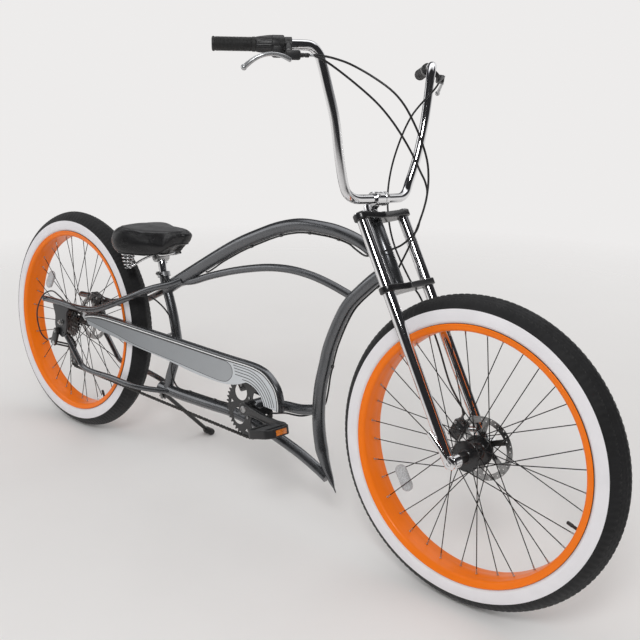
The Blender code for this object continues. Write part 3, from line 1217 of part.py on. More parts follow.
def side_stand():
    """A straight leg with a shod foot, hinged under the lower stays."""
    pivot, foot, axis = stand_directions()
    leg = cylinder("side_stand", pivot, foot, STAND_LEG_RADIUS, 12)
    hub = cylinder("hub", pivot - axis * STAND_HALF_WIDTH, pivot + axis * STAND_HALF_WIDTH, STAND_HUB_RADIUS, 14)
    leg = boolean(leg, hub, "UNION")
    leg = boolean(leg, cylinder("pin_hole", pivot - axis * 0.03, pivot + axis * 0.03, STAND_PIN_RADIUS + RUNNING_GAP, 12))
    pad = cylinder("pad", foot - FORWARD * 0.012, foot + FORWARD * 0.030, STAND_FOOT_RADIUS, 8)
    return finish(boolean(leg, pad, "UNION"), BLACK)


def stand_bracket():
    """The bracket on the lower tube that carries the stand's pin."""
    pivot, foot, axis = stand_directions()
    inner = STAND_HALF_WIDTH + STAND_EAR_GAP
    outer = inner + STAND_EAR_THICKNESS
    made = cylinder("stand_bracket", pivot - axis * (outer + 0.005), pivot + axis * (outer + 0.005), STAND_PIN_RADIUS, 12)
    for side in (RIGHT, LEFT):
        ear = cylinder("ear", pivot + axis * side * inner, pivot + axis * side * outer, STAND_HUB_RADIUS, 14)
        made = boolean(made, ear, "UNION")
        shift = axis * side * (outer + 0.0005)
        web = cylinder("web", pivot + shift, placed(STAND_WEB_AT, LOWER_TUBE_ROUTE[0][1]) + shift, STAND_EAR_THICKNESS, 8)
        made = boolean(made, web, "UNION")
    made = cope(made, LOWER_LINE, LOWER_TUBE_RADIUS, LOWER_RADII)
    made = cope(made, LOWER_STAY_LINE[LEFT], LOWER_STAY_RADIUS)
    return finish(made, BLACK)


def post_direction():
    """The seat post's direction, upwards and back."""
    lean = math.radians(SEATPOST_ANGLE_DEG)
    return Vector((math.cos(lean), 0.0, math.sin(lean)))


def post_top():
    """The top of the seat post."""
    return SEAT_LINE[0] + post_direction() * SEATPOST_STAND


def seat_group():
    """Seat post, collar, saddle and its springs."""
    base = SEAT_LINE[0]
    along = post_direction()
    post = cylinder("seatpost", base - along * 0.040, base + along * SEATPOST_STAND, SEATPOST_RADIUS, 16)
    made = [finish(post, CHROME)]
    collar = cylinder("seat_collar", base - along * 0.016, base - along * 0.001, SEAT_TUBE_RADIUS + 0.005, 16)
    bolt = base - along * 0.0085 - FORWARD * (SEAT_TUBE_RADIUS + 0.006)
    collar = boolean(collar, cylinder("bolt", bolt - SIDEWAYS * 0.012, bolt + SIDEWAYS * 0.012, 0.0050, 8), "UNION")
    collar = bore_out(collar, base - along * 0.05, base + along * 0.05, SEAT_TUBE_RADIUS + SEAT_GAP)
    made.append(finish(collar, BLACK))
    made.append(saddle())
    made.append(saddle_carrier())
    return made


def saddle():
    """A broad sprung saddle as one cushion, lofted from its plan at five heights."""
    top = post_top()
    loop = SADDLE_PLAN + [(x, -y) for x, y in reversed(SADDLE_PLAN)]
    work = bmesh.new()
    rings = []
    nose = SADDLE_PLAN[0][0]
    for height, share in zip(SADDLE_LEVELS, (0.93, 1.00, 1.00, 0.86, 0.60)):
        ring = []
        for x, y in loop:
            rise = SADDLE_NOSE_RISE * max(0.0, x / nose) if height < SADDLE_LEVELS[2] else 0.0
            ring.append(work.verts.new(top + Vector((x * (0.5 + share / 2), y * share, SADDLE_RISE + height + rise))))
        rings.append(ring)
    for low, high in zip(rings, rings[1:]):
        for i in range(len(loop)):
            j = (i + 1) % len(loop)
            work.faces.new((low[i], low[j], high[j], high[i]))
    work.faces.new(rings[0])
    work.faces.new(list(reversed(rings[-1])))
    bmesh.ops.recalc_face_normals(work, faces=work.faces)
    return finish(from_bmesh("saddle", work), VINYL)


def saddle_carrier():
    """The clamp, the two rails and the pair of barrel springs under the saddle."""
    top = post_top()
    along = post_direction()
    under = top - along * 0.012
    made = cylinder("saddle_carrier", under - SIDEWAYS * 0.024, under + SIDEWAYS * 0.024, 0.0150, 12)
    for side in (RIGHT, LEFT):
        rail = [top + Vector((x, y * side, z)) for x, y, z in RAIL_ROUTE]
        made = boolean(made, tube("rail", smooth(rail, 1), 0.0040, resolution=1), "UNION")
        foot = rail[-1] - UP * 0.006
        tall = SADDLE_RISE - SEAT_GAP - (foot.z - top.z)
        profile = [(0.0001, tall), (0.016, tall), (SPRING_RADIUS, tall * 0.65), (SPRING_RADIUS, tall * 0.35),
                   (0.016, 0.0), (0.0001, 0.0)]
        made = boolean(made, bake(turned("spring", profile, 10, Matrix.Translation(foot))), "UNION")
    made = bore_out(made, top - along * 0.06, top + along * 0.03, SEATPOST_RADIUS)
    return finish(made, CHROME)


def assemble():
    """Build every part, hang the moving ones on their joints and lean the bicycle on its stand."""
    root = empty("bicycle", Matrix.Identity(4))
    steering_at = Matrix.Translation(steer_point(0.5 * (CROWN_TOP_AT + CROWN_BOTTOM_AT))) @ Matrix.Rotation(
        math.radians(HEAD_ANGLE_DEG - 90.0), 4, "Y")
    steering = empty("steering_axis", steering_at, root, Matrix.Identity(4))
    front = empty("front_wheel_axis", Matrix.Translation(AXLE_FRONT), steering, steering_at)
    rear = empty("rear_wheel_axis", Matrix.Translation(AXLE_REAR), root, Matrix.Identity(4))
    crank = empty("crank_axis", Matrix.Translation(BRACKET), root, Matrix.Identity(4))
    front_cable, frame_cables = cables()
    front_caliper = caliper("front_caliper", AXLE_FRONT, FRONT_CALIPER_AT_DEG, FRONT_ROTOR_Y,
                            steer_point(0.045, LEG_LEAD, LEG_SPREAD), leg_line(LEFT))
    rear_caliper = caliper("rear_caliper", AXLE_REAR, REAR_CALIPER_AT_DEG, REAR_ROTOR_Y,
                           UPPER_STAY_LINE[LEFT][3], (UPPER_STAY_LINE[LEFT], UPPER_STAY_RADIUS))
    on_frame = [chain_guard(), chain(), stand_bracket(), rear_axle(), derailleur(), rear_caliper]
    groups = [(root, Matrix.Identity(4), frame_tubes() + bracket_cups() + seat_group() + on_frame + frame_cables),
              (steering, steering_at, fork() + handlebar_group() + [front_caliper, front_cable]),
              (front, Matrix.Translation(AXLE_FRONT), front_wheel()),
              (rear, Matrix.Translation(AXLE_REAR), rear_wheel()),
              (crank, Matrix.Translation(BRACKET), [crank_arm("crank_right", RIGHT), crank_arm("crank_left", LEFT),
                                                    chainring(), spindle()])]
    for side, word in ((RIGHT, "right"), (LEFT, "left")):
        at = Matrix.Translation(BRACKET + Vector((-side * CRANK_LENGTH, side * PEDAL_Y, 0.0)))
        holder = empty("pedal_axis_" + word, at, crank, Matrix.Translation(BRACKET))
        groups.append((holder, at, [pedal("pedal_" + word, side)]))
    pivot = stand_directions()[0]
    stand = empty("side_stand_axis", Matrix.Translation(pivot), root, Matrix.Identity(4))
    groups.append((stand, Matrix.Translation(pivot), [side_stand()]))
    for holder, matrix, members in groups:
        for member in members:
            member.parent = holder
            member.matrix_parent_inverse = matrix.inverted()
            smooth_shade(member)
    root.rotation_euler = (-math.radians(LEAN_DEG), 0.0, 0.0)
    stand_on_origin(root)


def stand_on_origin(root):
    """Move the leaned bicycle so that the middle of its underside is the origin."""
    bpy.context.view_layer.update()
    graph = bpy.context.evaluated_depsgraph_get()
    low, high = Vector((1e9,) * 3), Vector((-1e9,) * 3)
    for obj in PARTS.objects:
        if obj.type != "MESH":
            continue
        shape = obj.evaluated_get(graph).to_mesh()
        for vert in shape.vertices:
            point = obj.matrix_world @ vert.co
            low = Vector(map(min, low, point))
            high = Vector(map(max, high, point))
    root.location = (-(low.x + high.x) / 2, -(low.y + high.y) / 2, -low.z)


assemble()
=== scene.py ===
"""The chopper bicycle, dressed over its solids and lit for a studio picture.

Lengths are in metres. The bicycle is drawn upright, with X forward from the rear axle, Y to the rider's left
and Z up from the ground, and LEAN sets every piece into the place where it stands parked.
"""

import json
import math

import bmesh
import bpy
from mathutils import Matrix, Vector
from mathutils.bvhtree import BVHTree
from mathutils.kdtree import KDTree

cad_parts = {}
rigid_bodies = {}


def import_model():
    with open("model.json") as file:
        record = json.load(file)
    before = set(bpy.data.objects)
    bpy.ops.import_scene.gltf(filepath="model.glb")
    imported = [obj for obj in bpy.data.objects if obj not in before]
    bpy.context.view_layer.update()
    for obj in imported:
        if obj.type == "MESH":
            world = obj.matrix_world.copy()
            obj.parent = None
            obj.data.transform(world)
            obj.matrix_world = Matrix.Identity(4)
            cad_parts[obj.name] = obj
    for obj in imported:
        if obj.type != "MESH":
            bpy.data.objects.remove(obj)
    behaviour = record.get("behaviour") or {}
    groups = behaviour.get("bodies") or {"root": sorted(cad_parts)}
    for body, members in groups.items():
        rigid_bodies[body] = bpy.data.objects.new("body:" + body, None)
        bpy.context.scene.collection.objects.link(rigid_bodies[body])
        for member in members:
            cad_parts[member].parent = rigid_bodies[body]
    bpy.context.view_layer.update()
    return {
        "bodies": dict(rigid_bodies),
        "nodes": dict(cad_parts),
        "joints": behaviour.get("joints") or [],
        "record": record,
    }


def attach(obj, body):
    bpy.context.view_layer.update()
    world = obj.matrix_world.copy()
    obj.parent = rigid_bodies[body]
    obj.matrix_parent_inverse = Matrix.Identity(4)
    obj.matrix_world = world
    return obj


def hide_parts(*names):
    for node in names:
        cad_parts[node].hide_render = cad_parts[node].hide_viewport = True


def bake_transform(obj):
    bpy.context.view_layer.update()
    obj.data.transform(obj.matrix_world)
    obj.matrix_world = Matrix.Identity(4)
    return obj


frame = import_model()

# The lean on the side stand
LEAN_ANGLE = math.radians(5.84)
LEAN = Matrix.Translation((-0.812, -0.130574, -0.000054)) @ Matrix.Rotation(-LEAN_ANGLE, 4, "X")

# Directions and main places of the upright bicycle
RIGHT, LEFT = -1, 1
SIDES = ((RIGHT, "right"), (LEFT, "left"))
UP = Vector((0.0, 0.0, 1.0))
FORWARD = Vector((1.0, 0.0, 0.0))
SIDEWAYS = Vector((0.0, 1.0, 0.0))
WHEELBASE = 1.624
AXLE_HEIGHT = 0.385
AXLE_REAR = Vector((0.0, 0.0, AXLE_HEIGHT))
AXLE_FRONT = Vector((WHEELBASE, 0.0, AXLE_HEIGHT))
HEAD_ANGLE = math.radians(59.5)
STEER_UP = Vector((-math.cos(HEAD_ANGLE), 0.0, math.sin(HEAD_ANGLE)))
STEER_AHEAD = Vector((STEER_UP.z, 0.0, -STEER_UP.x))
AXLE_LEAD = 0.0388
STEER_BASE = AXLE_FRONT - STEER_AHEAD * AXLE_LEAD
CROWN_BOTTOM_AT = 0.4327
CROWN_TOP_AT = 0.6207
CROWN_THICKNESS = 0.016
LEG_SPREAD, LEG_LEAD, LEG_RADIUS = 0.083, 0.027, 0.0145

# Wheels
TREAD_RADIUS = 0.384
RIM_RADIUS = 0.317
RIM_INNER = 0.3
RIM_HALF = 0.0396
SPOKE_COUNT = 36
ROTOR_RADIUS = 0.08
FRONT_ROTOR_Y, REAR_ROTOR_Y = 0.05, 0.052

# Drivetrain
BRACKET = Vector((0.917, 0.0, 0.315))
CHAIN_PITCH = 0.0127
CHAINRING_Y = -0.05
CRANK_LENGTH = 0.17
ARM_Y, ARM_ROOT_Y = 0.086, 0.0665
PEDAL_Y = 0.142
DROPOUT_Y = 0.0775
DROPOUT_FACE = DROPOUT_Y + 0.0033


def steer_point(along, ahead=0.0, y=0.0):
    """A point at a height along the steering axis, a distance ahead of it."""
    return STEER_BASE + STEER_UP * along + STEER_AHEAD * ahead + SIDEWAYS * y


def placed(x, z, y=0.0):
    """A frame point measured from the rear axle."""
    return AXLE_REAR + Vector((x, y, z))


# Shaders
def nodes_of(name):
    """A new material with its node tree and shader."""
    made = bpy.data.materials.new(name)
    made.use_nodes = True
    return made, made.node_tree, made.node_tree.nodes["Principled BSDF"]


def fill(tree, node, inputs):
    """Sets each input of a node to a value, or wires another node's output to it."""
    for key, value in inputs.items():
        if isinstance(value, bpy.types.NodeSocket):
            tree.links.new(value, node.inputs[key])
        else:
            node.inputs[key].default_value = value


def add(tree, kind, inputs=None, **settings):
    """A new shader node with its settings and inputs."""
    made = tree.nodes.new("ShaderNode" + kind)
    for key, value in settings.items():
        setattr(made, key, value)
    fill(tree, made, inputs or {})
    return made


def on_piece(tree):
    """Places in metres on the piece."""
    return add(tree, "TexCoord").outputs["Object"]


def noise_value(tree, scale, detail=4.0):
    """A noise texture in metres on the piece."""
    return add(tree, "TexNoise", {"Scale": scale, "Detail": detail, "Roughness": 0.55,
                                  "Vector": on_piece(tree)}).outputs["Fac"]


def cell_value(tree, scale, feature="F1"):
    """Distances in a pattern of small cells."""
    return add(tree, "TexVoronoi", {"Scale": scale, "Vector": on_piece(tree)},
               feature=feature).outputs["Distance"]


def bumped(tree, height, strength, distance=0.0004):
    """A surface that rises and falls with a value."""
    return add(tree, "Bump", {"Strength": strength, "Distance": distance, "Height": height}).outputs["Normal"]


def uneven(tree, scale, low, high, detail=5.0, top=0.75):
    """A value or colour that wanders between two."""
    return ramp(tree, noise_value(tree, scale, detail), [(0.3, low), (top, high)])


def ramp(tree, value, stops):
    """A colour ramp over a value, from (place, colour or grey) stops."""
    made = add(tree, "ValToRGB", {"Fac": value})
    for index, (at, shade) in enumerate(stops):
        stop = made.color_ramp.elements[index] if index < 2 else made.color_ramp.elements.new(at)
        stop.position = at
        stop.color = (*shade, 1.0) if isinstance(shade, tuple) else (shade, shade, shade, 1.0)
    return made.outputs["Color"]


def mixed(tree, share, first, second, mode="MIX"):
    """Two colours mixed by a share."""
    made = add(tree, "Mix", data_type="RGBA", blend_type=mode)
    fill(tree, made, {key: (*value, 1.0) if isinstance(value, tuple) else value
                      for key, value in ((0, share), (6, first), (7, second))})
    return made.outputs[2]


def shaded(colour, factor):
    """A colour made lighter or darker."""
    return tuple(min(1.0, c * factor) for c in colour)


def mottled(tree, scale, colour, spread):
    """A colour that wanders a little to both sides of itself."""
    return uneven(tree, scale, shaded(colour, 1.0 - spread), shaded(colour, 1.0 + spread), 4.0, 0.72)


def finish_look(name, colour, rough, metal=0.0, spread=0.12, scale=9.0, rough_spread=0.08, rough_scale=30.0,
                bump=0.0, bump_scale=900.0, coat=0.0, wear=None, sheen=0.0, specular=0.5):
    """A painted, plated, moulded or rubber finish with mottled colour, uneven gloss, grain and worn edges."""
    made, tree, shader = nodes_of(name)
    tone = mottled(tree, scale, colour, spread)
    if wear:
        edge = ramp(tree, add(tree, "NewGeometry").outputs["Pointiness"], [(0.53, 0.0), (0.6, 1.0)])
        patch = ramp(tree, noise_value(tree, 160.0, 6.0), [(0.45, 0.0), (0.62, 1.0)])
        tone = mixed(tree, mixed(tree, 1.0, edge, patch, "MULTIPLY"), tone, wear)
    gloss = uneven(tree, rough_scale, max(0.02, rough - rough_spread), min(1.0, rough + rough_spread))
    fill(tree, shader,
         {"Base Color": tone, "Roughness": gloss, "Metallic": metal, "Specular IOR Level": specular,
                        "Coat Weight": coat, "Coat Roughness": 0.06, "Sheen Weight": sheen})
    if bump:
        fill(tree, shader, {"Normal": bumped(tree, noise_value(tree, bump_scale, 3.0), bump)})
    return made


def flaked(name, colour, fleck, rough, metal, coat, front=None):
    """A metallic paint: mottled, with bright flecks under a clear coat, and, if told, painted light that turns
    it paler towards the front.
    """
    made, tree, shader = nodes_of(name)
    tone = mottled(tree, 5.0, colour, 0.1)
    # Painted light: the front colour is mixed in more and more towards the front of the piece.
    if front:
        apart = add(tree, "SeparateXYZ", {"Vector": on_piece(tree)})
        along = add(tree, "MapRange", {"From Min": -0.6, "From Max": 0.1, "Value": apart.outputs["X"]})
        tone = mixed(tree, along.outputs["Result"], tone, front)
    share = ramp(tree, cell_value(tree, 1400.0), [(0.06, 0.55), (0.3, 0.0)])
    fill(tree, shader, {"Base Color": mixed(tree, share, tone, fleck), "Metallic": metal, "Coat Weight": coat,
                        "Coat Roughness": 0.05, "Roughness": uneven(tree, 40.0, rough - 0.05, rough + 0.07),
                        "Normal": bumped(tree, noise_value(tree, 260.0, 3.0), 0.02)})
    return made


GRAPHITE = flaked("frame_graphite", (0.13, 0.134, 0.142), (0.34, 0.35, 0.37), 0.27, 0.85, 0.45)
# Painted shade: the frame's graphite paint, darkened for the dropout plates.
GRAPHITE_PAINTED_SHADE = flaked("dropout_graphite_painted_shade", (0.03, 0.031, 0.034), (0.12, 0.12, 0.13), 0.34, 0.6, 0.35)
# The guard's silver paint and its darker inset, both with painted light that makes them paler towards the
# front.
GUARD_SILVER_PAINTED_LIGHT = flaked("guard_silver_painted_light", (0.3, 0.32, 0.34), (0.66, 0.68, 0.7), 0.34, 0.45, 0.35, (0.66, 0.69, 0.72))
GUARD_INSET_PAINTED_LIGHT = flaked("guard_inset_painted_light", (0.21, 0.225, 0.24), (0.42, 0.44, 0.46), 0.36, 0.55, 0.35,
                     (0.42, 0.44, 0.46))
PINSTRIPE = finish_look("guard_pinstripe", (0.8, 0.81, 0.82), 0.35, spread=0.04)
CHROME = finish_look("chrome_plate", (0.8, 0.8, 0.81), 0.07, 1.0, spread=0.03, rough_spread=0.03,
                     rough_scale=14.0)
STEEL = finish_look("zinc_steel", (0.46, 0.46, 0.46), 0.3, 1.0, spread=0.1, bump=0.05)
BRUSHED = finish_look("disc_steel", (0.36, 0.36, 0.36), 0.28, 1.0, spread=0.1, scale=60.0, bump=0.1)
ALLOY = finish_look("cast_alloy", (0.55, 0.56, 0.57), 0.36, 0.9, spread=0.08, bump=0.12, bump_scale=500.0)
BLACK = finish_look("black_enamel", (0.014, 0.014, 0.015), 0.3, 0.1, coat=0.35, bump=0.04, bump_scale=300.0,
                    wear=(0.1, 0.1, 0.1))
SPOKE = finish_look("black_wire", (0.016, 0.016, 0.017), 0.28, 0.55, rough_spread=0.05)
ORANGE = finish_look("rim_orange", (0.92, 0.19, 0.005), 0.34, 0.0, spread=0.05, scale=7.0, coat=0.08,
                     rough_spread=0.05, specular=0.22)
RUBBER = finish_look("tyre_black", (0.01, 0.01, 0.011), 0.7, spread=0.25, scale=22.0, bump=0.25,
                     bump_scale=420.0,
                     wear=(0.05, 0.05, 0.048), sheen=0.08, specular=0.35)
WHITEWALL = finish_look("tyre_whitewall", (0.79, 0.775, 0.8), 0.48, spread=0.035, scale=13.0, bump=0.1,
                        bump_scale=350.0, sheen=0.05)
GRIP = finish_look("grip_black", (0.014, 0.014, 0.014), 0.62, spread=0.2, scale=40.0, bump=0.3,
                   bump_scale=700.0, sheen=0.1)
PLASTIC = finish_look("moulded_black", (0.017, 0.017, 0.018), 0.44, spread=0.15, scale=30.0, bump=0.2,
                      bump_scale=900.0, wear=(0.06, 0.06, 0.06))
HOUSING = finish_look("cable_black", (0.013, 0.013, 0.014), 0.38, spread=0.15, scale=50.0, bump=0.08)
# Painted shade: a dark grey that stands in for the shade in the chain guard's grooves and round its inset.
GROOVE_PAINTED_SHADE = finish_look("groove_painted_shade", (0.055, 0.057, 0.06), 0.4, 0.3, spread=0.08)
THREAD = finish_look("saddle_thread", (0.035, 0.035, 0.036), 0.6, spread=0.1)
CHAIN_STEEL = finish_look("chain_steel", (0.05, 0.048, 0.046), 0.36, 0.7, spread=0.22, scale=120.0, bump=0.06)


def prism_look(name, colour):
    """A moulded reflector with small prisms."""
    made, tree, shader = nodes_of(name)
    prisms = cell_value(tree, 420.0)
    tone = ramp(tree, prisms, [(0.0, shaded(colour, 1.25)), (0.6, shaded(colour, 0.6))])
    fill(tree, shader, {"Base Color": tone, "Normal": bumped(tree, prisms, 0.5, 0.0008), "Roughness": 0.16,
                        "Coat Weight": 0.6})
    return made


AMBER = prism_look("pedal_amber", (0.85, 0.23, 0.02))
CLEAR = prism_look("reflector_clear", (0.62, 0.64, 0.66))


def leather_look(name, dark, light, gloss_low, gloss_high):
    """Grained black vinyl for the saddle."""
    made, tree, shader = nodes_of(name)
    grain = ramp(tree, cell_value(tree, 480.0, "DISTANCE_TO_EDGE"), [(0.0, 0.0), (0.18, 1.0)])
    fill(tree, shader, {"Base Color": uneven(tree, 14.0, dark, light, 4.0), "Sheen Weight": 0.05,
                        "Roughness": uneven(tree, 26.0, gloss_low, gloss_high),
                        "Normal": bumped(tree, grain, 0.35)})
    return made


VINYL = leather_look("saddle_black", (0.006, 0.006, 0.007), (0.013, 0.013, 0.014), 0.22, 0.34)
# The sewn top panel: the same vinyl made lighter, painted light on the saddle's top.
VINYL_TOP_PAINTED_LIGHT = leather_look("saddle_panel_painted_light", (0.05, 0.05, 0.052), (0.08, 0.08, 0.083), 0.42, 0.6)


# Shapes: each returns its points and its faces
def smooth(points, per_span):
    """A Catmull-Rom line through points."""
    points = [Vector(p) for p in points]
    guides = [points[0] * 2 - points[1]] + points + [points[-1] * 2 - points[-2]]
    route = []
    for index in range(1, len(guides) - 2):
        a, b, c, d = guides[index - 1:index + 3]
        for step in range(per_span):
            t = step / per_span
            route.append(0.5 * ((2 * b) + (c - a) * t + (2 * a - 5 * b + 4 * c - d) * t ** 2
                                + (3 * b - a - 3 * c + d) * t ** 3))
    return route + [points[-1]]


def bands(rings):
    """Faces between rings of the same size."""
    return [[low[i], low[(i + 1) % len(low)], high[(i + 1) % len(low)], high[i]]
            for low, high in zip(rings, rings[1:]) for i in range(len(low))]


def eased(share):
    """A share from 0 to 1 with a soft start and end."""
    share = min(1.0, max(0.0, share))
    return share * share * (3.0 - 2.0 * share)


def joined(shapes):
    """Several shapes as one."""
    points, faces = [], []
    for some_points, some_faces in shapes:
        first = len(points)
        points += some_points
        faces += [[first + i for i in face] for face in some_faces]
    return points, faces


def across(direction):
    """Two unit directions square to one, the first as level as it can be."""
    direction = direction.normalized()
    guide = SIDEWAYS if abs(direction.y) < 0.9 else UP
    first = (guide - direction * guide.dot(direction)).normalized()
    return first, direction.cross(first)


def lathe(profile, origin, direction, segments=48, looped=False, wave=None):
    """A profile of (radius, height) turned about an axis; looped joins its last point to its first."""
    direction = direction.normalized()
    first, second = across(direction)
    points, rings = [], []
    for index, (radius, height) in enumerate(profile):
        ring = []
        for step in range(1 if radius < 1e-6 else segments):
            angle = math.tau * step / segments
            reach = radius + (wave(index, step) if wave else 0.0)
            ring.append(len(points))
            points.append(origin + direction * height
                          + (first * math.cos(angle) + second * math.sin(angle)) * reach)
        rings.append(ring)
    faces = []
    pairs = list(zip(rings, rings[1:])) + ([(rings[-1], rings[0])] if looped else [])
    for low, high in pairs:
        for i in range(segments):
            j = (i + 1) % segments
            if len(low) == 1 and len(high) == 1:
                continue
            if len(low) == 1:
                faces.append([low[0], high[j], high[i]])
            elif len(high) == 1:
                faces.append([low[i], low[j], high[0]])
            else:
                faces.append([low[i], low[j], high[j], high[i]])
    return points, faces


def rod(start, end, radius, chamfer=0.0008, segments=32):
    """A round bar with eased ends."""
    length = (end - start).length
    ease = min(chamfer, radius * 0.45, length * 0.45)
    profile = [(0.0, 0.0), (radius - ease, 0.0), (radius - ease * 0.3, ease * 0.3), (radius, ease),
               (radius, length - ease), (radius - ease * 0.3, length - ease * 0.3), (radius - ease, length),
               (0.0, length)]
    return lathe(profile, start, end - start, segments)


def pipe(start, end, radius, bore, segments=32):
    """A round bar bored through."""
    length = (end - start).length
    ease = min(0.0006, (radius - bore) * 0.4)
    profile = [(bore, 0.0), (radius - ease, 0.0), (radius, ease), (radius, length - ease),
               (radius - ease, length), (bore, length)]
    return lathe(profile, start, end - start, segments, True)


def sweep(route, radii, sides=24, flat=1.0, guide=None):
    """A tube along a route; radii is one radius or one for each point, flat squeezes it across the guide."""
    count = len(route)
    radii = radii if isinstance(radii, list) else [radii] * count
    points, rings, last = [], [], None
    for index, at in enumerate(route):
        ahead = (route[min(index + 1, count - 1)] - route[max(index - 1, 0)]).normalized()
        if last is None:
            hint = guide or (SIDEWAYS if abs(ahead.y) < 0.9 else UP)
        else:
            hint = guide or last
        first = (hint - ahead * hint.dot(ahead)).normalized()
        second = ahead.cross(first)
        last = first
        ring = []
        for step in range(sides):
            angle = math.tau * step / sides
            ring.append(len(points))
            points.append(at + first * (math.cos(angle) * radii[index])
                          + second * (math.sin(angle) * radii[index] * flat))
        rings.append(ring)
    return points, bands(rings) + [list(reversed(rings[0])), rings[-1]]


def plate(outlines, thickness, matrix, ease=0.0004, rounds=1):
    """Flat outlines, the first outside and the rest holes, as a plate with eased edges."""
    shape = bpy.data.curves.new("plate", "CURVE")
    shape.dimensions = "2D"
    shape.fill_mode = "BOTH"
    shape.extrude = thickness / 2 - ease
    shape.bevel_depth = ease
    shape.bevel_resolution = rounds
    shape.offset = -ease
    for outline in outlines:
        spline = shape.splines.new("POLY")
        spline.points.add(len(outline) - 1)
        for point, (x, y) in zip(spline.points, outline):
            point.co = (x, y, 0.0, 1.0)
        spline.use_cyclic_u = True
    holder = bpy.data.objects.new("plate", shape)
    mesh = bpy.data.meshes.new_from_object(holder)
    points = [matrix @ v.co for v in mesh.vertices]
    faces = [list(p.vertices) for p in mesh.polygons]
    bpy.data.objects.remove(holder)
    bpy.data.curves.remove(shape)
    bpy.data.meshes.remove(mesh)
    return points, faces


def block(centre, size, matrix=None, ease=0.002, rounds=3):
    """A box with rounded edges."""
    work = bmesh.new()
    bmesh.ops.create_cube(work, size=1.0)
    bmesh.ops.scale(work, vec=size, verts=work.verts)
    bmesh.ops.bevel(work, geom=list(work.edges) + list(work.verts), offset=ease, segments=rounds,
                    affect="EDGES", profile=0.5)
    turn = matrix or Matrix.Identity(4)
    points = [centre + turn @ v.co for v in work.verts]
    faces = [[v.index for v in f.verts] for f in work.faces]
    work.free()
    return points, faces


def bolt(at, direction, radius, height, sides=24):
    """A round socket-head screw with its sunk drive."""
    profile = [(0.0, height * 0.45), (radius * 0.5, height * 0.45), (radius * 0.54, height),
               (radius * 0.88, height), (radius, height * 0.84), (radius, 0.0), (0.0, 0.0)]
    return lathe(profile, at, direction, sides)


def nut(at, direction, radius, height):
    """A hexagon nut with a domed stub of thread."""
    ring = [(radius * 0.92, 0.0), (radius, height * 0.15), (radius, height * 0.85), (radius * 0.9, height)]
    return joined([lathe([(0.0, 0.0)] + ring + [(0.0, height)], at, direction, 6),
                   rod(at, at + direction.normalized() * height * 1.6, radius * 0.5, 0.0008, 20)])


def arc(centre, radius, start_deg, end_deg, count):
    """Points along an arc."""
    points = []
    for index in range(count + 1):
        angle = math.radians(start_deg + (end_deg - start_deg) * index / count)
        points.append((centre[0] + radius * math.cos(angle), centre[1] + radius * math.sin(angle)))
    return points


def circle(centre, radius, count):
    """Points round a whole circle."""
    return arc(centre, radius, 0.0, 360.0, count)[:-1]


def axes_matrix(*axes):
    """The turn that takes X, Y and Z to three directions."""
    return Matrix(axes).transposed().to_4x4()


def side_plane(y):
    """The matrix that lays an (x, z) outline in a plane beside the bicycle's middle."""
    return Matrix.Translation((0.0, y, 0.0)) @ axes_matrix(FORWARD, UP, SIDEWAYS)


def round_axle(centre):
    """The matrix that lays an outline round a point on an axle."""
    return Matrix.Translation(centre) @ Matrix.Rotation(math.radians(90.0), 4, "X")


def polar(radius, angle):
    """A flat point from its distance and angle."""
    return radius * math.cos(angle), radius * math.sin(angle)


def spoke_axes(at_deg):
    """The direction away from an axle at an angle, and the one along the rim there."""
    x, z = polar(1.0, math.radians(at_deg))
    return Vector((x, 0.0, z)), Vector((-z, 0.0, x))


def mirrored(side):
    """A profile of (radius, y) and its mirror image, which share the last point."""
    return side + [(r, -y) for r, y in reversed(side[:-1])]


def shown(name, data):
    """A new object in the scene."""
    made = bpy.data.objects.new(name, data)
    bpy.context.scene.collection.objects.link(made)
    return made


def piece(name, slot, parts, body, *nodes, sharp_deg=34.0):
    """One object: its shapes with their looks, the body that it rides on and the solids that it stands for."""
    looks = list(dict.fromkeys(look for _, look in parts))
    points, faces = joined([shape for shape, _ in parts])
    mesh = bpy.data.meshes.new(name)
    mesh.from_pydata([LEAN @ Vector(p) for p in points], [], faces)
    for look in looks:
        mesh.materials.append(look)
    mesh.polygons.foreach_set("material_index",
                              [looks.index(look) for shape, look in parts for _ in shape[1]])
    work = bmesh.new()
    work.from_mesh(mesh)
    bmesh.ops.recalc_face_normals(work, faces=work.faces)
    for face in work.faces:
        face.smooth = True
    limit = math.radians(sharp_deg)
    for edge in work.edges:
        edge.smooth = len(edge.link_faces) != 2 or edge.calc_face_angle(0.0) < limit
    work.to_mesh(mesh)
    work.free()
    made = shown(name, mesh)
    if body:
        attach(made, body)
    present = [node for node in nodes if node in frame["nodes"]]
    if present:
        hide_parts(*present)
    return made


# Camera, floor and light


def set_camera():
    """The camera at the photograph's place and angle."""
    data = bpy.data.cameras.new("camera")
    data.lens, data.sensor_width, data.clip_end = 48.07, 36.0, 60.0
    ahead = Vector((-0.6292, 0.717, -0.3)).normalized()
    right = ahead.cross(UP).normalized()
    turn = axes_matrix(right, right.cross(ahead), -ahead)
    holder = shown("camera", data)
    holder.matrix_world = Matrix.Translation((1.7602, -1.7236, 1.2995)) @ turn
    bpy.context.scene.camera = holder


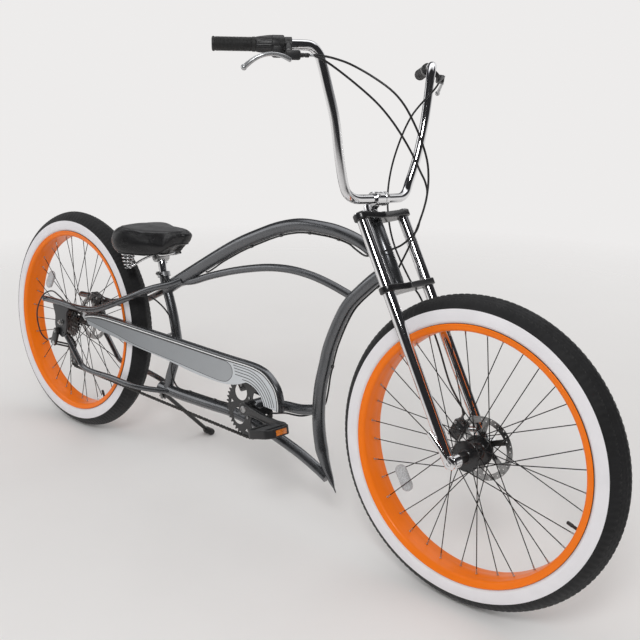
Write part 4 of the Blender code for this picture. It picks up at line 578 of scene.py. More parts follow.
def set_stage():
    """A pale floor that fades into the background, soft lamps and a studio that metal mirrors."""
    bpy.context.scene.view_settings.view_transform = "Standard"
    floor, tree, shader = nodes_of("floor_pale")
    tree.nodes.remove(shader)
    length = add(tree, "VectorMath", {0: on_piece(tree)}, operation="LENGTH").outputs["Value"]
    tenth = add(tree, "Math", {0: length, 1: 0.1}, operation="MULTIPLY").outputs[0]
    tone = uneven(tree, 3.0, shaded(PALE, 0.985), shaded(PALE, 1.005), 4.0)
    both = add(tree, "MixShader", {"Fac": ramp(tree, tenth, [(0.1, 0.0), (0.42, 1.0)]),
                                   1: add(tree, "BsdfDiffuse", {"Color": tone}).outputs["BSDF"],
                                   2: add(tree, "BsdfTransparent").outputs["BSDF"]})
    fill(tree, tree.nodes["Material Output"], {"Surface": both.outputs["Shader"]})
    mesh = bpy.data.meshes.new("floor")
    mesh.from_pydata([Vector((*p, 0.0)) for p in circle((0.0, 0.0), 9.0, 64)], [], [list(range(64))])
    mesh.materials.append(floor)
    ground = shown("floor", mesh)
    set_world()
    lamp("key", (1.9, -2.4, 3.0), (0.1, 0.0, 0.4), 0.9, KEY)
    lamp("fill", (-2.8, -1.8, 2.0), (-0.2, 0.0, 0.4), 1.8, FILL)
    lamp("back", (0.2, 3.2, 2.8), (0.0, 0.0, 0.4), 2.4, BACK)


def set_world():
    """An even sky for light; metal mirrors the pale background beside and a dark studio above."""
    world = bpy.data.worlds.new("studio")
    bpy.context.scene.world = world
    world.use_nodes = True
    tree = world.node_tree
    tree.nodes.clear()

    def glow(colour, strength):
        """The light of a background."""
        return add(tree, "Background", {"Color": colour, "Strength": strength}).outputs["Background"]

    def either(share, first, second):
        """One light or the other."""
        return add(tree, "MixShader", {"Fac": share, 1: first, 2: second}).outputs["Shader"]

    def graded(value, stops):
        """A ramp over a value from -1 to 1."""
        reach = add(tree, "MapRange", {"From Min": -1.0, "From Max": 1.0, "Value": value})
        return ramp(tree, reach.outputs["Result"], stops)

    way = add(tree, "TexCoord").outputs["Generated"]
    tall = graded(add(tree, "SeparateXYZ", {0: way}).outputs["Z"],
                  [(0.5, (0.48, 0.473, 0.467)), (0.56, (0.22, 0.22, 0.225)), (0.63, (0.02, 0.02, 0.022)),
                   (0.82, (0.016, 0.016, 0.018)), (0.88, (0.8, 0.8, 0.82)), (1.0, (1.0, 1.0, 1.0))])
    turn = add(tree, "VectorMath", {0: way, 1: VIEWER}, operation="DOT_PRODUCT")
    front = graded(turn.outputs["Value"], [(0.52, 0.0), (0.72, 1.0)])
    room = glow(mixed(tree, front, tall, (0.014, 0.014, 0.015)), 1.7)
    path = add(tree, "LightPath").outputs
    seen = add(tree, "Math", {0: path["Is Camera Ray"], 1: path["Is Transmission Ray"]}, operation="MAXIMUM")
    lit = either(path["Is Glossy Ray"], glow((1.0, 0.99, 0.98, 1.0), SKY), room)
    fill(tree, add(tree, "OutputWorld"), {"Surface": either(seen.outputs[0], lit, glow((*PALE, 1.0), 1.0))})


def lamp(name, at, target, size, power):
    """One soft square lamp."""
    data = bpy.data.lights.new(name, "AREA")
    data.shape, data.size, data.energy = "SQUARE", size, power
    turn = (Vector(at) - Vector(target)).to_track_quat("Z", "Y").to_matrix().to_4x4()
    shown(name, data).matrix_world = Matrix.Translation(at) @ turn


PALE = (0.85, 0.838, 0.832)
VIEWER = (0.64, -0.72, 0.26)
SKY, KEY, FILL, BACK = 0.62, 40.0, 16.0, 16.0
set_camera()
set_stage()


# Wheels
def turned_wheel(profile, axle, segments, wave=None):
    """A closed profile of (radius, y) turned about an axle."""
    return lathe(profile, axle, SIDEWAYS, segments, True, wave)


def tyre(word, axle):
    """A balloon tyre: white side walls with raised rings and a ribbed black tread."""
    wall = [(0.304, 0.033), (0.312, 0.0352), (0.3168, 0.0362), (0.319, 0.0362), (0.3215, 0.0376),
            (0.3228, 0.0392), (0.325, 0.04), (0.3285, 0.0406), (0.333, 0.041), (0.339, 0.0411),
            (0.344, 0.0408), (0.349, 0.0401), (0.3528, 0.0392)]
    tread = [(0.3532, 0.0394), (0.3548, 0.0393), (0.3552, 0.0386), (0.359, 0.0368), (0.363, 0.0344),
             (0.3668, 0.0315), (0.3704, 0.028), (0.3736, 0.024), (0.374, 0.0236), (0.3762, 0.02),
             (0.3785, 0.016), (0.3789, 0.0154), (0.3806, 0.0118), (0.382, 0.008), (0.3824, 0.0074),
             (0.3834, 0.0036), (TREAD_RADIUS, 0.0)]
    side = wall + tread
    inner = [(0.304, -0.028), (0.32, -0.032), (0.35, -0.0355), (0.37, -0.02), (0.376, 0.0), (0.37, 0.02),
             (0.35, 0.0355), (0.32, 0.032), (0.304, 0.028)]
    profile = mirrored(side) + inner
    count = len(side) * 2 - 1
    segments = 560

    def wave(index, step):
        """Depth of the tread's grooves."""
        if index >= count:
            return 0.0
        radius, y = profile[index]
        if radius < 0.3585:
            return 0.0
        if abs(y) > 0.0236:
            return -0.0016 if step % 4 == 0 else 0.0
        row = 0 if abs(y) < 0.0075 else 1
        if abs(abs(y) - 0.0155) < 0.0008 or abs(abs(y) - 0.0077) < 0.0008 or abs(abs(y) - 0.0238) < 0.0004:
            return -0.0014
        return -0.0014 if (step + row * 2) % 4 == 0 else 0.0

    points, faces = turned_wheel(profile, axle, segments, wave)
    white, black = [], []
    for number, face in enumerate(faces):
        index = number // segments
        mirrored_index = min(index, count - 2 - index) if index < count - 1 else -1
        (white if 3 <= mirrored_index < len(wall) - 1 else black).append(face)
    piece(word + "_tyre_dressed", "tyre_rubber", [((points, black), RUBBER), ((points, white), WHITEWALL)],
          word + "_wheel", word + "_tyre")


def rim(word, axle):
    """A wide orange channel rim with rolled lips and a raised middle."""
    half = [(RIM_RADIUS + 0.0005, RIM_HALF - 0.0022), (RIM_RADIUS + 0.001, RIM_HALF - 0.0008),
            (RIM_RADIUS + 0.0002, RIM_HALF + 0.0002), (RIM_RADIUS - 0.0018, RIM_HALF + 0.0003),
            (RIM_RADIUS - 0.0026, RIM_HALF - 0.0006), (RIM_RADIUS - 0.009, RIM_HALF - 0.001),
            (RIM_RADIUS - 0.0125, RIM_HALF - 0.0022), (RIM_INNER + 0.0012, RIM_HALF - 0.0052),
            (RIM_INNER, RIM_HALF - 0.0085), (RIM_INNER, 0.018), (RIM_INNER - 0.0004, 0.014),
            (RIM_INNER - 0.0012, 0.011), (RIM_INNER - 0.0014, 0.0)]
    channel = [(RIM_INNER + 0.003, 0.0), (RIM_INNER + 0.003, -RIM_HALF + 0.008),
               (RIM_RADIUS - 0.004, -RIM_HALF + 0.0034), (RIM_RADIUS, -RIM_HALF + 0.0026)]
    profile = mirrored(half) + list(reversed(channel[1:])) + [(r, -y) for r, y in channel]
    piece(word + "_rim_dressed", "orange_paint", [(turned_wheel(profile, axle, 220), ORANGE)],
          word + "_wheel", word + "_rim", sharp_deg=50.0)


def spokes(axle, flange_radius, spread):
    """The laced spokes and their nipples."""
    wires, nipples = [], []
    hole_radius = flange_radius - 0.004
    reach = 0.2985
    per_side = SPOKE_COUNT // 2
    for side in (RIGHT, LEFT):
        for index in range(per_side):
            turn = 1 if index % 2 else -1
            at_hub = math.tau * (index + (0.5 if side > 0 else 0.0)) / per_side
            at_rim = at_hub + math.radians(60.0) * turn
            start = axle + Vector((hole_radius * math.cos(at_hub), side * spread + turn * 0.0022,
                                   -hole_radius * math.sin(at_hub)))
            end = axle + Vector((reach * math.cos(at_rim), side * 0.006, -reach * math.sin(at_rim)))
            way = (end - start).normalized()
            head = start - SIDEWAYS * turn * 0.003
            wires += [sweep(smooth([head, start, start + way * 0.01], 3) + [end], 0.00125, 8),
                      lathe([(0.0, -0.0008), (0.0022, -0.0006), (0.0025, 0.0), (0.0016, 0.001),
                             (0.0, 0.0012)], head, -SIDEWAYS * turn, 10)]
            nipples.append(lathe([(0.0013, -0.013), (0.0019, -0.0125), (0.002, -0.003), (0.0028, -0.0022),
                                  (0.0028, 0.001), (0.0, 0.001)], end, way, 10))
    return joined(wires), joined(nipples)


def hub(word, axle, core, end, flange, spread, half_width):
    """A flanged hub with its spokes and nipples."""
    side = [(0.0056, half_width), (end - 0.0008, half_width), (end, half_width - 0.0008),
            (end, spread + 0.0085), (end + 0.0008, spread + 0.0065), (core, spread + 0.005),
            (core + 0.0014, spread + 0.0028), (flange * 0.62, spread + 0.002),
            (flange - 0.001, spread + 0.0017), (flange, spread + 0.0008), (flange, spread - 0.0008),
            (flange - 0.001, spread - 0.0017), (flange * 0.62, spread - 0.002),
            (core + 0.003, spread - 0.0036), (core, spread - 0.008), (core * 0.94, 0.0)]
    wires, nipples = spokes(axle, flange, spread)
    piece(word + "_hub_laced", "black_paint",
          [(turned_wheel(mirrored(side), axle, 72), BLACK), (wires, SPOKE), (nipples, ALLOY)],
          word + "_wheel", word + "_hub")


def reflector(word, axle, at_deg):
    """A clear oval spoke reflector clipped between two spokes."""
    radial, along = spoke_axes(at_deg)
    place = Matrix.Translation(axle + radial * 0.225) @ axes_matrix(along, radial, -SIDEWAYS)
    outer, inner = (arc((0.019, 0.0), radius, -90.0, 90.0, 12) + arc((-0.019, 0.0), radius, 90.0, 270.0, 12)
                    for radius in (0.0165, 0.014))
    piece(word + "_reflector", "black_plastic", [(plate([outer], 0.009, place, 0.001, 2), CLEAR),
                                                 (plate([inner], 0.0104, place, 0.0008, 2), CLEAR)],
          word + "_wheel")


def valve(word, axle, at_deg):
    """A valve stem with its cap."""
    radial = spoke_axes(at_deg)[0]
    foot = axle + radial * (RIM_INNER - 0.001)
    stem = [(0.0, 0.0), (0.005, 0.0), (0.005, 0.0016), (0.0036, 0.003), (0.0036, 0.018), (0.0028, 0.0185),
            (0.0, 0.0185)]
    cap = [(0.0, 0.017), (0.0042, 0.017), (0.0044, 0.0175), (0.0042, 0.03), (0.003, 0.0318), (0.0, 0.0322)]
    piece(word + "_valve", "black_plastic",
          [(lathe(stem, foot, -radial, 20), GRIP), (lathe(cap, foot, -radial, 20), PLASTIC)], word + "_wheel")


def rotor(word, axle, y, hub_radius):
    """A brake disc with a drilled ring on swept arms, a carrier and six screws."""
    cuts = [arc((0.0, 0.0), ROTOR_RADIUS - 0.0155, middle - 23.0, middle + 23.0, 10)
            + arc((0.0, 0.0), 0.029, middle + 27.0, middle - 3.0, 6) for middle in range(0, 360, 60)]
    cuts += [circle(polar((0.0695, 0.073, 0.0765)[index % 3], math.tau * index / 36), 0.0019, 8)
             for index in range(36)]
    cuts.append(circle((0.0, 0.0), hub_radius + 0.0003, 40))
    disc = plate([circle((0.0, 0.0), ROTOR_RADIUS, 96)] + cuts, 0.002, round_axle(axle + SIDEWAYS * y),
                 0.0002)
    screws = []
    for index in range(6):
        x, z = polar(0.022, math.tau * index / 6)
        screws.append(bolt(axle + Vector((x, y + 0.001, z)), SIDEWAYS, 0.0036, 0.0022, 16))
    piece(word + "_rotor_drilled", "steel", [(disc, BRUSHED), (joined(screws), STEEL)], word + "_wheel",
          word + "_rotor")


HUB_HALF_FRONT = LEG_SPREAD - LEG_RADIUS - 0.004
for dress in (tyre, rim):
    dress("front", AXLE_FRONT)
    dress("rear", AXLE_REAR)
hub("front", AXLE_FRONT, 0.017, 0.0136, 0.038, 0.03, HUB_HALF_FRONT)
hub("rear", AXLE_REAR, 0.016, 0.0128, 0.03, 0.028, DROPOUT_Y - 0.005)
rotor("front", AXLE_FRONT, FRONT_ROTOR_Y, 0.0136)
rotor("rear", AXLE_REAR, REAR_ROTOR_Y, 0.0128)
reflector("front", AXLE_FRONT, 214.0)
reflector("rear", AXLE_REAR, 150.0)
valve("front", AXLE_FRONT, 342.0)
valve("rear", AXLE_REAR, 300.0)


# Frame tubes
TOP_RADII, LOWER_RADII, STAY_RADIUS = (0.0155, 0.02), (0.018, 0.0145), 0.0105
TOP_ROUTE = [(1.315, 0.415), (1.242, 0.452), (1.167, 0.47), (1.098, 0.474), (1.026, 0.471), (0.952, 0.453),
             (0.876, 0.423), (0.797, 0.387), (0.714, 0.341), (0.628, 0.29), (0.536, 0.235), (0.476, 0.198)]
SECOND_ROUTE = [(1.24, 0.305), (1.146, 0.329), (1.073, 0.341), (0.999, 0.344), (0.922, 0.337), (0.843, 0.321),
                (0.76, 0.299), (0.674, 0.271), (0.6, 0.243), (0.55, 0.232)]
DOWN_ROUTE = [(1.345, 0.4), (1.302, 0.374), (1.263, 0.339), (1.218, 0.291), (1.189, 0.239), (1.161, 0.164),
              (1.149, 0.105), (1.139, 0.046), (1.137, -0.012), (1.142, -0.069), (1.155, -0.124),
              (1.173, -0.168), (1.199, -0.213), (1.212, -0.233)]
SEAT_ROUTE = [(0.455, 0.248), (0.47, 0.205), (0.489, 0.165), (0.507, 0.123), (0.524, 0.071), (0.534, 0.02),
              (0.522, -0.035), (0.505, -0.085), (0.493, -0.14)]
LOWER_ROUTE = [(0.458, -0.134), (0.553, -0.135), (0.65, -0.132), (0.72, -0.129), (0.787, -0.126),
               (0.866, -0.13), (0.93, -0.138), (1.0, -0.152), (1.08, -0.172), (1.15, -0.196), (1.185, -0.211)]
LINK_FRONT_ROUTE = [(0.917, -0.07), (0.965, -0.058), (1.012, -0.049), (1.069, -0.043), (1.113, -0.032),
                    (1.138, -0.023)]
LINK_REAR_ROUTE = [(0.825, -0.129), (0.855, -0.109), (0.885, -0.088), (0.917, -0.07)]
UPPER_STAY_ROUTE = [(-0.112, 0.077, 0.065), (-0.016, 0.077, 0.069), (0.076, 0.077, 0.069),
                    (0.165, 0.0765, 0.077), (0.222, 0.074, 0.092), (0.297, 0.068, 0.124),
                    (0.363, 0.06, 0.155), (0.446, 0.044, 0.195), (0.525, 0.025, 0.223), (0.56, 0.012, 0.24)]
LOWER_STAY_ROUTE = [(0.03, 0.077, -0.045), (0.054, 0.077, -0.065), (0.097, 0.0765, -0.106),
                    (0.127, 0.076, -0.131), (0.174, 0.074, -0.138), (0.275, 0.07, -0.1345),
                    (0.374, 0.06, -0.1385), (0.43, 0.044, -0.139), (0.485, 0.024, -0.136),
                    (0.52, 0.008, -0.1345)]


def in_plane(route, per_span=8):
    """A smooth line in the bicycle's middle plane."""
    return smooth([placed(x, z) for x, z in route], per_span)


def beside(route, side, per_span=8):
    """A smooth line of a stay on one side."""
    return smooth([placed(x, z, y * side) for x, y, z in route], per_span)


def tapered(first, last, count, full_at=1.0):
    """Radii that go evenly from the first to the last, which is reached at a share of the points."""
    return [first + (last - first) * min(1.0, i / (full_at * (count - 1))) for i in range(count)]


def domed(route, radius, at_start=False, at_end=False, length=None):
    """A route and its radii with a rounded nose at either end."""
    radii = radius if isinstance(radius, list) else [radius] * len(route)
    length = length or radii[0] * 0.8
    if at_start:
        back = (route[0] - route[1]).normalized()
        steps = [math.sin(math.radians(a)) for a in (88, 66, 44, 22)]
        route = [route[0] + back * length * s for s in steps] + route
        radii = [radii[0] * math.sqrt(max(0.0, 1 - s * s)) for s in steps] + radii
    if at_end:
        way = (route[-1] - route[-2]).normalized()
        steps = [math.sin(math.radians(a)) for a in (22, 44, 66, 88)]
        route = route + [route[-1] + way * length * s for s in steps]
        radii = radii + [radii[-1] * math.sqrt(max(0.0, 1 - s * s)) for s in steps]
    return route, radii


def pointed(count, per_point=1.0):
    """Radii of the down tube, which runs out to a point."""
    return [0.018 * min(1.0, 0.12 + 0.16 * i / per_point) for i in reversed(range(count))]


def frame_tubes():
    """The welded frame as smooth tubes."""
    top, down, lower = in_plane(TOP_ROUTE), in_plane(DOWN_ROUTE), in_plane(LOWER_ROUTE)
    tubes = [("top_tube", *domed(top, tapered(*TOP_RADII, len(top), 0.7), False, True)),
             ("second_tube", in_plane(SECOND_ROUTE), 0.011),
             ("down_tube", *domed(down, pointed(len(down), len(down) / (len(DOWN_ROUTE) * 2 - 1)), False,
                                  True)),
             ("seat_tube", in_plane(SEAT_ROUTE), 0.0155),
             ("lower_tube", *domed(lower, tapered(*LOWER_RADII, len(lower)), True, False, 0.004)),
             ("link_tube_front", in_plane(LINK_FRONT_ROUTE), 0.015),
             ("link_tube_rear", in_plane(LINK_REAR_ROUTE), 0.015)]
    tubes += [(name + word, *domed(beside(route, side), radius, True, False, 0.004))
              for side, word in SIDES
              for name, route, radius in (("upper_stay_", UPPER_STAY_ROUTE, STAY_RADIUS),
                                          ("lower_stay_", LOWER_STAY_ROUTE, 0.009))]
    for name, route, radii in tubes:
        piece(name + "_painted", "graphite_paint", [(sweep(route, radii, 36), GRAPHITE)], "frame", name)


frame_tubes()


def head_and_shell():
    """Head tube with its rings, and the bottom bracket shell with its cups."""
    low = CROWN_BOTTOM_AT + CROWN_THICKNESS / 2 + 0.0008
    high = CROWN_TOP_AT - CROWN_THICKNESS / 2 - 0.0008
    length = high - low
    profile = [(0.0155, 0.0), (0.0178, 0.0), (0.0178, 0.003), (0.017, 0.0036), (0.0172, 0.012),
               (0.0178, 0.013), (0.0178, length - 0.013), (0.0172, length - 0.012), (0.017, length - 0.0036),
               (0.0178, length - 0.003), (0.0178, length), (0.0155, length)]
    piece("head_tube_painted", "graphite_paint",
          [(lathe(profile, steer_point(low), STEER_UP, 48, True), GRAPHITE)], "frame", "head_tube")
    half = SIDEWAYS * 0.035
    piece("bottom_bracket_painted", "graphite_paint",
          [(pipe(BRACKET - half, BRACKET + half, 0.021, 0.017, 48), GRAPHITE)], "frame", "bottom_bracket")
    for side, word in SIDES:
        cup = [(0.0092, 0.0), (0.0165, 0.0), (0.0165, 0.01), (0.0164, 0.0124), (0.0156, 0.013),
               (0.011, 0.013), (0.0092, 0.012)]
        piece("cup_%s_dressed" % word, "steel",
              [(lathe(cup, BRACKET + SIDEWAYS * side * 0.025, SIDEWAYS * side, 40, True),
                                                  STEEL)], "frame", "cup_" + word)


head_and_shell()

DROPOUT_OUTLINE = [(-0.056, 0.059), (-0.037, 0.019), (-0.04, -0.015), (-0.026, -0.041), (0.006, -0.055),
                   (0.026, -0.042), (0.034, -0.003), (0.03, 0.039), (0.046, 0.058)]


def rounded(outline, radius, count=5):
    """An outline with its corners rounded."""
    made = []
    total = len(outline)
    for index in range(total):
        corner = Vector(outline[index])
        before = (Vector(outline[index - 1]) - corner)
        after = (Vector(outline[(index + 1) % total]) - corner)
        reach = min(radius, before.length * 0.45, after.length * 0.45)
        start = corner + before.normalized() * reach
        end = corner + after.normalized() * reach
        for step in range(count + 1):
            t = step / count
            made.append(tuple(start * (1 - t) ** 2 + corner * 2 * t * (1 - t) + end * t ** 2))
    return made


def rear_end():
    """Dropouts, and the rear axle with its washers and nuts."""
    for side, word in SIDES:
        outline = rounded([(x, z + AXLE_HEIGHT) for x, z in DROPOUT_OUTLINE], 0.01)
        hole = circle((0.0, AXLE_HEIGHT), 0.0053, 24)
        eye = circle((0.014, AXLE_HEIGHT - 0.035), 0.0026, 12)
        # The dropouts wear the frame's paint darkened as painted shade.
        piece("dropout_%s_painted" % word, "graphite_paint",
              [(plate([outline, hole, eye], 0.006, side_plane(side * DROPOUT_Y), 0.0008, 2), GRAPHITE_PAINTED_SHADE)],
              "frame", "dropout_" + word)
    parts = [rod(AXLE_REAR - SIDEWAYS * 0.0925, AXLE_REAR + SIDEWAYS * 0.0925, 0.005, 0.001)]
    for side in (RIGHT, LEFT):
        face = AXLE_REAR + SIDEWAYS * side * DROPOUT_FACE
        parts += [lathe([(0.0, 0.0), (0.0102, 0.0), (0.0105, 0.0008), (0.01, 0.0014), (0.0, 0.0014)], face,
                        SIDEWAYS * side, 32),
                  nut(face + SIDEWAYS * side * 0.0012, SIDEWAYS * side, 0.0098, 0.0058)]
    piece("rear_axle_dressed", "steel", [(joined(parts), STEEL)], "frame", "rear_axle")


rear_end()


# Fork, crowns and stem
def fork():
    """Chrome legs with shod ends, black crowns with pinch screws, steerer and front axle with its lever."""
    for side, word in SIDES:
        y = side * LEG_SPREAD
        foot = steer_point(-0.012, LEG_LEAD, y)
        length = CROWN_TOP_AT + 0.004 + 0.012
        profile = [(0.0, 0.0), (0.0095, 0.0), (0.012, 0.001), (0.0134, 0.0034), (0.0142, 0.008),
                   (0.0145, 0.014), (0.0145, length - 0.004), (0.014, length - 0.0015), (0.0122, length),
                   (0.009, length - 0.0006), (0.007, length - 0.0012), (0.0, length - 0.0012)]
        eye = AXLE_FRONT + SIDEWAYS * y
        tip = [(0.0052, -0.01305), (0.0155, -0.01305), (0.017, -0.0115), (0.017, 0.0115), (0.0155, 0.01305),
               (0.0052, 0.01305)]
        piece("fork_leg_%s_plated" % word, "chrome",
              [(lathe(profile, foot, STEER_UP, 56), CHROME), (lathe(tip, eye, SIDEWAYS, 48, True), CHROME),
               (lathe([(0.0, 0.0), (0.0162, 0.0), (0.017, 0.0008), (0.0166, 0.003), (0.012, 0.0042),
                       (0.0, 0.0042)],
                      steer_point(CROWN_TOP_AT + 0.0076, LEG_LEAD, y), STEER_UP, 40), CHROME)],
              "steering", "fork_leg_" + word)
    for word, at in (("upper", CROWN_TOP_AT), ("lower", CROWN_BOTTOM_AT)):
        wide, long, ear = LEG_SPREAD, LEG_LEAD, LEG_RADIUS + 0.006
        outline = (arc((-wide, long), ear, 100.0, 260.0, 20) + arc((0.0, 0.0), 0.024, 215.0, 325.0, 14)
                   + arc((wide, long), ear, -80.0, 80.0, 20) + arc((0.0, long - 0.01), 0.021, 60.0, 120.0, 6))
        holes = [circle((side * wide, long), LEG_RADIUS + 0.0003, 48) for side in (RIGHT, LEFT)]
        place = Matrix.Translation(steer_point(at)) @ axes_matrix(-SIDEWAYS, STEER_AHEAD, STEER_UP)
        parts = [(plate([outline] + holes, CROWN_THICKNESS, place, 0.0022, 3), BLACK)]
        for side in (RIGHT, LEFT):
            at_screw = steer_point(at, LEG_LEAD - 0.0185, side * (LEG_SPREAD - 0.006))
            parts.append((bolt(at_screw, -STEER_AHEAD, 0.004, 0.004, 20), STEEL))
        piece(word + "_crown_painted", "black_paint", parts, "steering", word + "_crown")
    low = CROWN_BOTTOM_AT + CROWN_THICKNESS / 2 + 0.0003
    high = CROWN_TOP_AT - CROWN_THICKNESS / 2 - 0.0003
    piece("steerer_dressed", "steel", [(rod(steer_point(low), steer_point(high), 0.0127), STEEL)], "steering",
          "steerer")
    reach = LEG_SPREAD + LEG_RADIUS + 0.006
    parts = [rod(AXLE_FRONT - SIDEWAYS * reach, AXLE_FRONT + SIDEWAYS * reach, 0.005, 0.001)]
    outer = AXLE_FRONT - SIDEWAYS * (LEG_SPREAD + LEG_RADIUS - 0.001)
    parts.append(lathe([(0.0, 0.0), (0.013, 0.0), (0.0146, 0.0012), (0.0146, 0.0046), (0.0124, 0.006),
                        (0.007, 0.0064), (0.0066, 0.005), (0.0, 0.005)], outer, -SIDEWAYS, 40))
    lever = smooth([outer - SIDEWAYS * 0.0034, outer + Vector((-0.014, -0.004, 0.012)),
                    outer + Vector((-0.04, -0.0044, 0.036)),
                    outer + Vector((-0.064, -0.003, 0.056))], 5)
    parts.append(sweep(lever, [0.006 + 0.002 * i / (len(lever) - 1) for i in range(len(lever))], 16, 0.45,
                       UP))
    cap = AXLE_FRONT + SIDEWAYS * (LEG_SPREAD + LEG_RADIUS - 0.001)
    parts.append(nut(cap, SIDEWAYS, 0.0098, 0.006))
    piece("front_axle_lever", "chrome", [(joined(parts), CHROME)], "steering", "front_axle")


fork()

BAR_ROUTE = [(0.0085, 0.0, 0.0539), (0.0085, 0.06, 0.0539), (0.0075, 0.095, 0.0559), (0.0035, 0.12, 0.0679),
             (0.001, 0.133, 0.0899), (0.0015, 0.147, 0.1239), (0.0015, 0.162, 0.1689),
             (-0.0005, 0.18, 0.2374), (-0.0095, 0.2, 0.3029), (-0.0185, 0.216, 0.3569),
             (-0.0235, 0.225, 0.3779), (-0.0325, 0.24, 0.3919), (-0.0462, 0.257, 0.3931)]
BAR_TIP = (-0.1795, 0.399, 0.3819)
BAR_RADIUS = 0.0118
GRIP_LENGTH = 0.12
TWIST_START = 0.0935


def bar_point(x, y, z):
    """A point measured from the upper crown."""
    return steer_point(CROWN_TOP_AT) + Vector((x, y, z))


def lever_place(side):
    """A lever's bar tip, run along the bar, clamp middle, way ahead, pivot and cable mouth."""
    tip = bar_point(BAR_TIP[0], BAR_TIP[1] * side, BAR_TIP[2])
    last = BAR_ROUTE[-1]
    run = (bar_point(last[0], last[1] * side, last[2]) - tip).normalized()
    at = 0.165 if side == RIGHT else GRIP_LENGTH + 0.0083
    centre = tip + run * at
    ahead = (FORWARD - run * FORWARD.dot(run)).normalized()
    perch = centre + ahead * 0.044 - UP * 0.031
    return tip, run, centre, ahead, perch, centre + ahead * 0.036 - UP * 0.022 + run * 0.046


def handlebar():
    """Chrome bar and stem."""
    half = [bar_point(*p) for p in BAR_ROUTE]
    curved = smooth(half, 5)
    tip = bar_point(*BAR_TIP)
    route = [Vector((p.x, -p.y, p.z)) for p in [tip] + list(reversed(curved[1:]))] + curved + [tip]
    piece("handlebar_plated", "chrome", [(sweep(route, BAR_RADIUS, 32), CHROME)], "steering", "handlebar")
    clamp = half[0]
    foot = steer_point(CROWN_TOP_AT + CROWN_THICKNESS / 2 + 0.0003)
    post = [(0.0, 0.0), (0.0168, 0.0), (0.017, 0.0012), (0.0166, 0.03), (0.015, 0.0335), (0.0, 0.034)]
    neck = steer_point(CROWN_TOP_AT + CROWN_THICKNESS / 2 + 0.0203)
    sleeve = [(0.0118, -0.026), (0.016, -0.026), (0.0178, -0.0245), (0.0178, -0.011), (0.017, -0.0104),
              (0.017, 0.0104), (0.0178, 0.011), (0.0178, 0.0245), (0.016, 0.026), (0.0118, 0.026)]
    parts = [(lathe(post, foot, STEER_UP, 48), CHROME),
             (sweep([neck, neck.lerp(clamp, 0.5), clamp], 0.0125, 32), CHROME),
             (lathe(sleeve, clamp, SIDEWAYS, 48, True), CHROME)]
    ahead = (FORWARD - UP * 0.2).normalized()
    for y in (-0.018, 0.018):
        for tilt in (0.9, -0.5):
            way = (ahead + UP * tilt).normalized()
            parts.append((bolt(clamp + way * 0.0168 + SIDEWAYS * y, way, 0.0036, 0.003, 18), STEEL))
    parts.append((bolt(steer_point(CROWN_TOP_AT + CROWN_THICKNESS / 2 + 0.0338), STEER_UP, 0.006, 0.003, 24),
                  STEEL))
    piece("stem_plated", "chrome", parts, "steering", "stem")


def grips():
    """Ribbed grips with flared ends."""
    for side, word in SIDES:
        tip, run = lever_place(side)[:2]
        length = (GRIP_LENGTH if side == LEFT else TWIST_START) + 0.0033
        count = 27
        outer = [(0.0, 0.0), (0.012, 0.0), (0.0152, 0.0012), (0.016, 0.0035), (0.0158, 0.0058),
                 (0.0146, 0.007)]
        for index in range(count):
            at = 0.0085 + (length - 0.018) * index / count
            step = (length - 0.018) / count
            outer += [(0.0145, at), (0.0154, at + step * 0.28), (0.0154, at + step * 0.68),
                      (0.0145, at + step * 0.95)]
        outer += [(0.015, length - 0.0088), (0.016, length - 0.0078), (0.016, length - 0.0012),
                  (0.015, length), (0.0119, length), (0.0119, 0.0033), (0.0, 0.0033)]
        piece("grip_%s_ribbed" % word, "grip_rubber", [(lathe(outer, tip - run * 0.0033, run, 40), GRIP)],
              "steering", "grip_" + word)


def levers():
    """Brake levers: bar clamp, perch, barrel adjuster and curved blade."""
    for side, word in SIDES:
        _, run, centre, ahead, perch, mouth = lever_place(side)
        half = run * 0.008
        parts = [(pipe(centre - half, centre + half, 0.0168, 0.01185, 40), PLASTIC)]
        arm = smooth([centre + ahead * 0.012, centre + ahead * 0.024 - UP * 0.008,
                      centre + ahead * 0.036 - UP * 0.02], 4)
        parts.append((sweep(arm, 0.0078, 20, 0.8), PLASTIC))
        turn = axes_matrix(run, ahead, run.cross(ahead))
        seat = centre + ahead * 0.036 - UP * 0.022 + run * 0.009
        parts += [(block(seat, (0.034, 0.02, 0.021), turn, 0.005, 4), PLASTIC),
                  (lathe([(0.0, 0.0), (0.005, 0.0), (0.005, 0.008), (0.004, 0.0085), (0.004, 0.011),
                          (0.005, 0.0115), (0.005, 0.019), (0.0034, 0.021), (0.0, 0.021)],
                         mouth - run * 0.0215, run, 20), BLACK)]
        blade = smooth([perch - run * along + ahead * out + UP * rise for along, out, rise in
                        [(-0.004, 0.0, -0.001), (0.012, 0.003, 0.006), (0.03, 0.006, 0.01),
                         (0.048, 0.009, 0.0095), (0.066, 0.01, 0.004), (0.082, 0.009, -0.006),
                         (0.096, 0.006, -0.018)]], 5)
        radii = [0.0056 - 0.0012 * math.sin(math.pi * min(1.0, i / (len(blade) - 4)))
                 for i in range(len(blade))]
        parts.append((sweep(*domed(blade, radii, True, True, 0.003), 20, 0.72, UP), ALLOY))
        ball = [(0.0, -0.007)] + [polar(0.007, math.radians(at))
                                  for at in range(-70, 90, 20)] + [(0.0, 0.007)]
        parts += [(lathe(ball, blade[-1], UP, 24), ALLOY),
                  (bolt(seat + UP * 0.0098 - run * 0.01, UP, 0.0042, 0.0026, 20), STEEL),
                  (bolt(centre - ahead * 0.016, -ahead, 0.0034, 0.0028, 18), STEEL)]
        piece("brake_lever_%s_shaped" % word, "black_plastic", parts, "steering", "brake_lever_" + word)


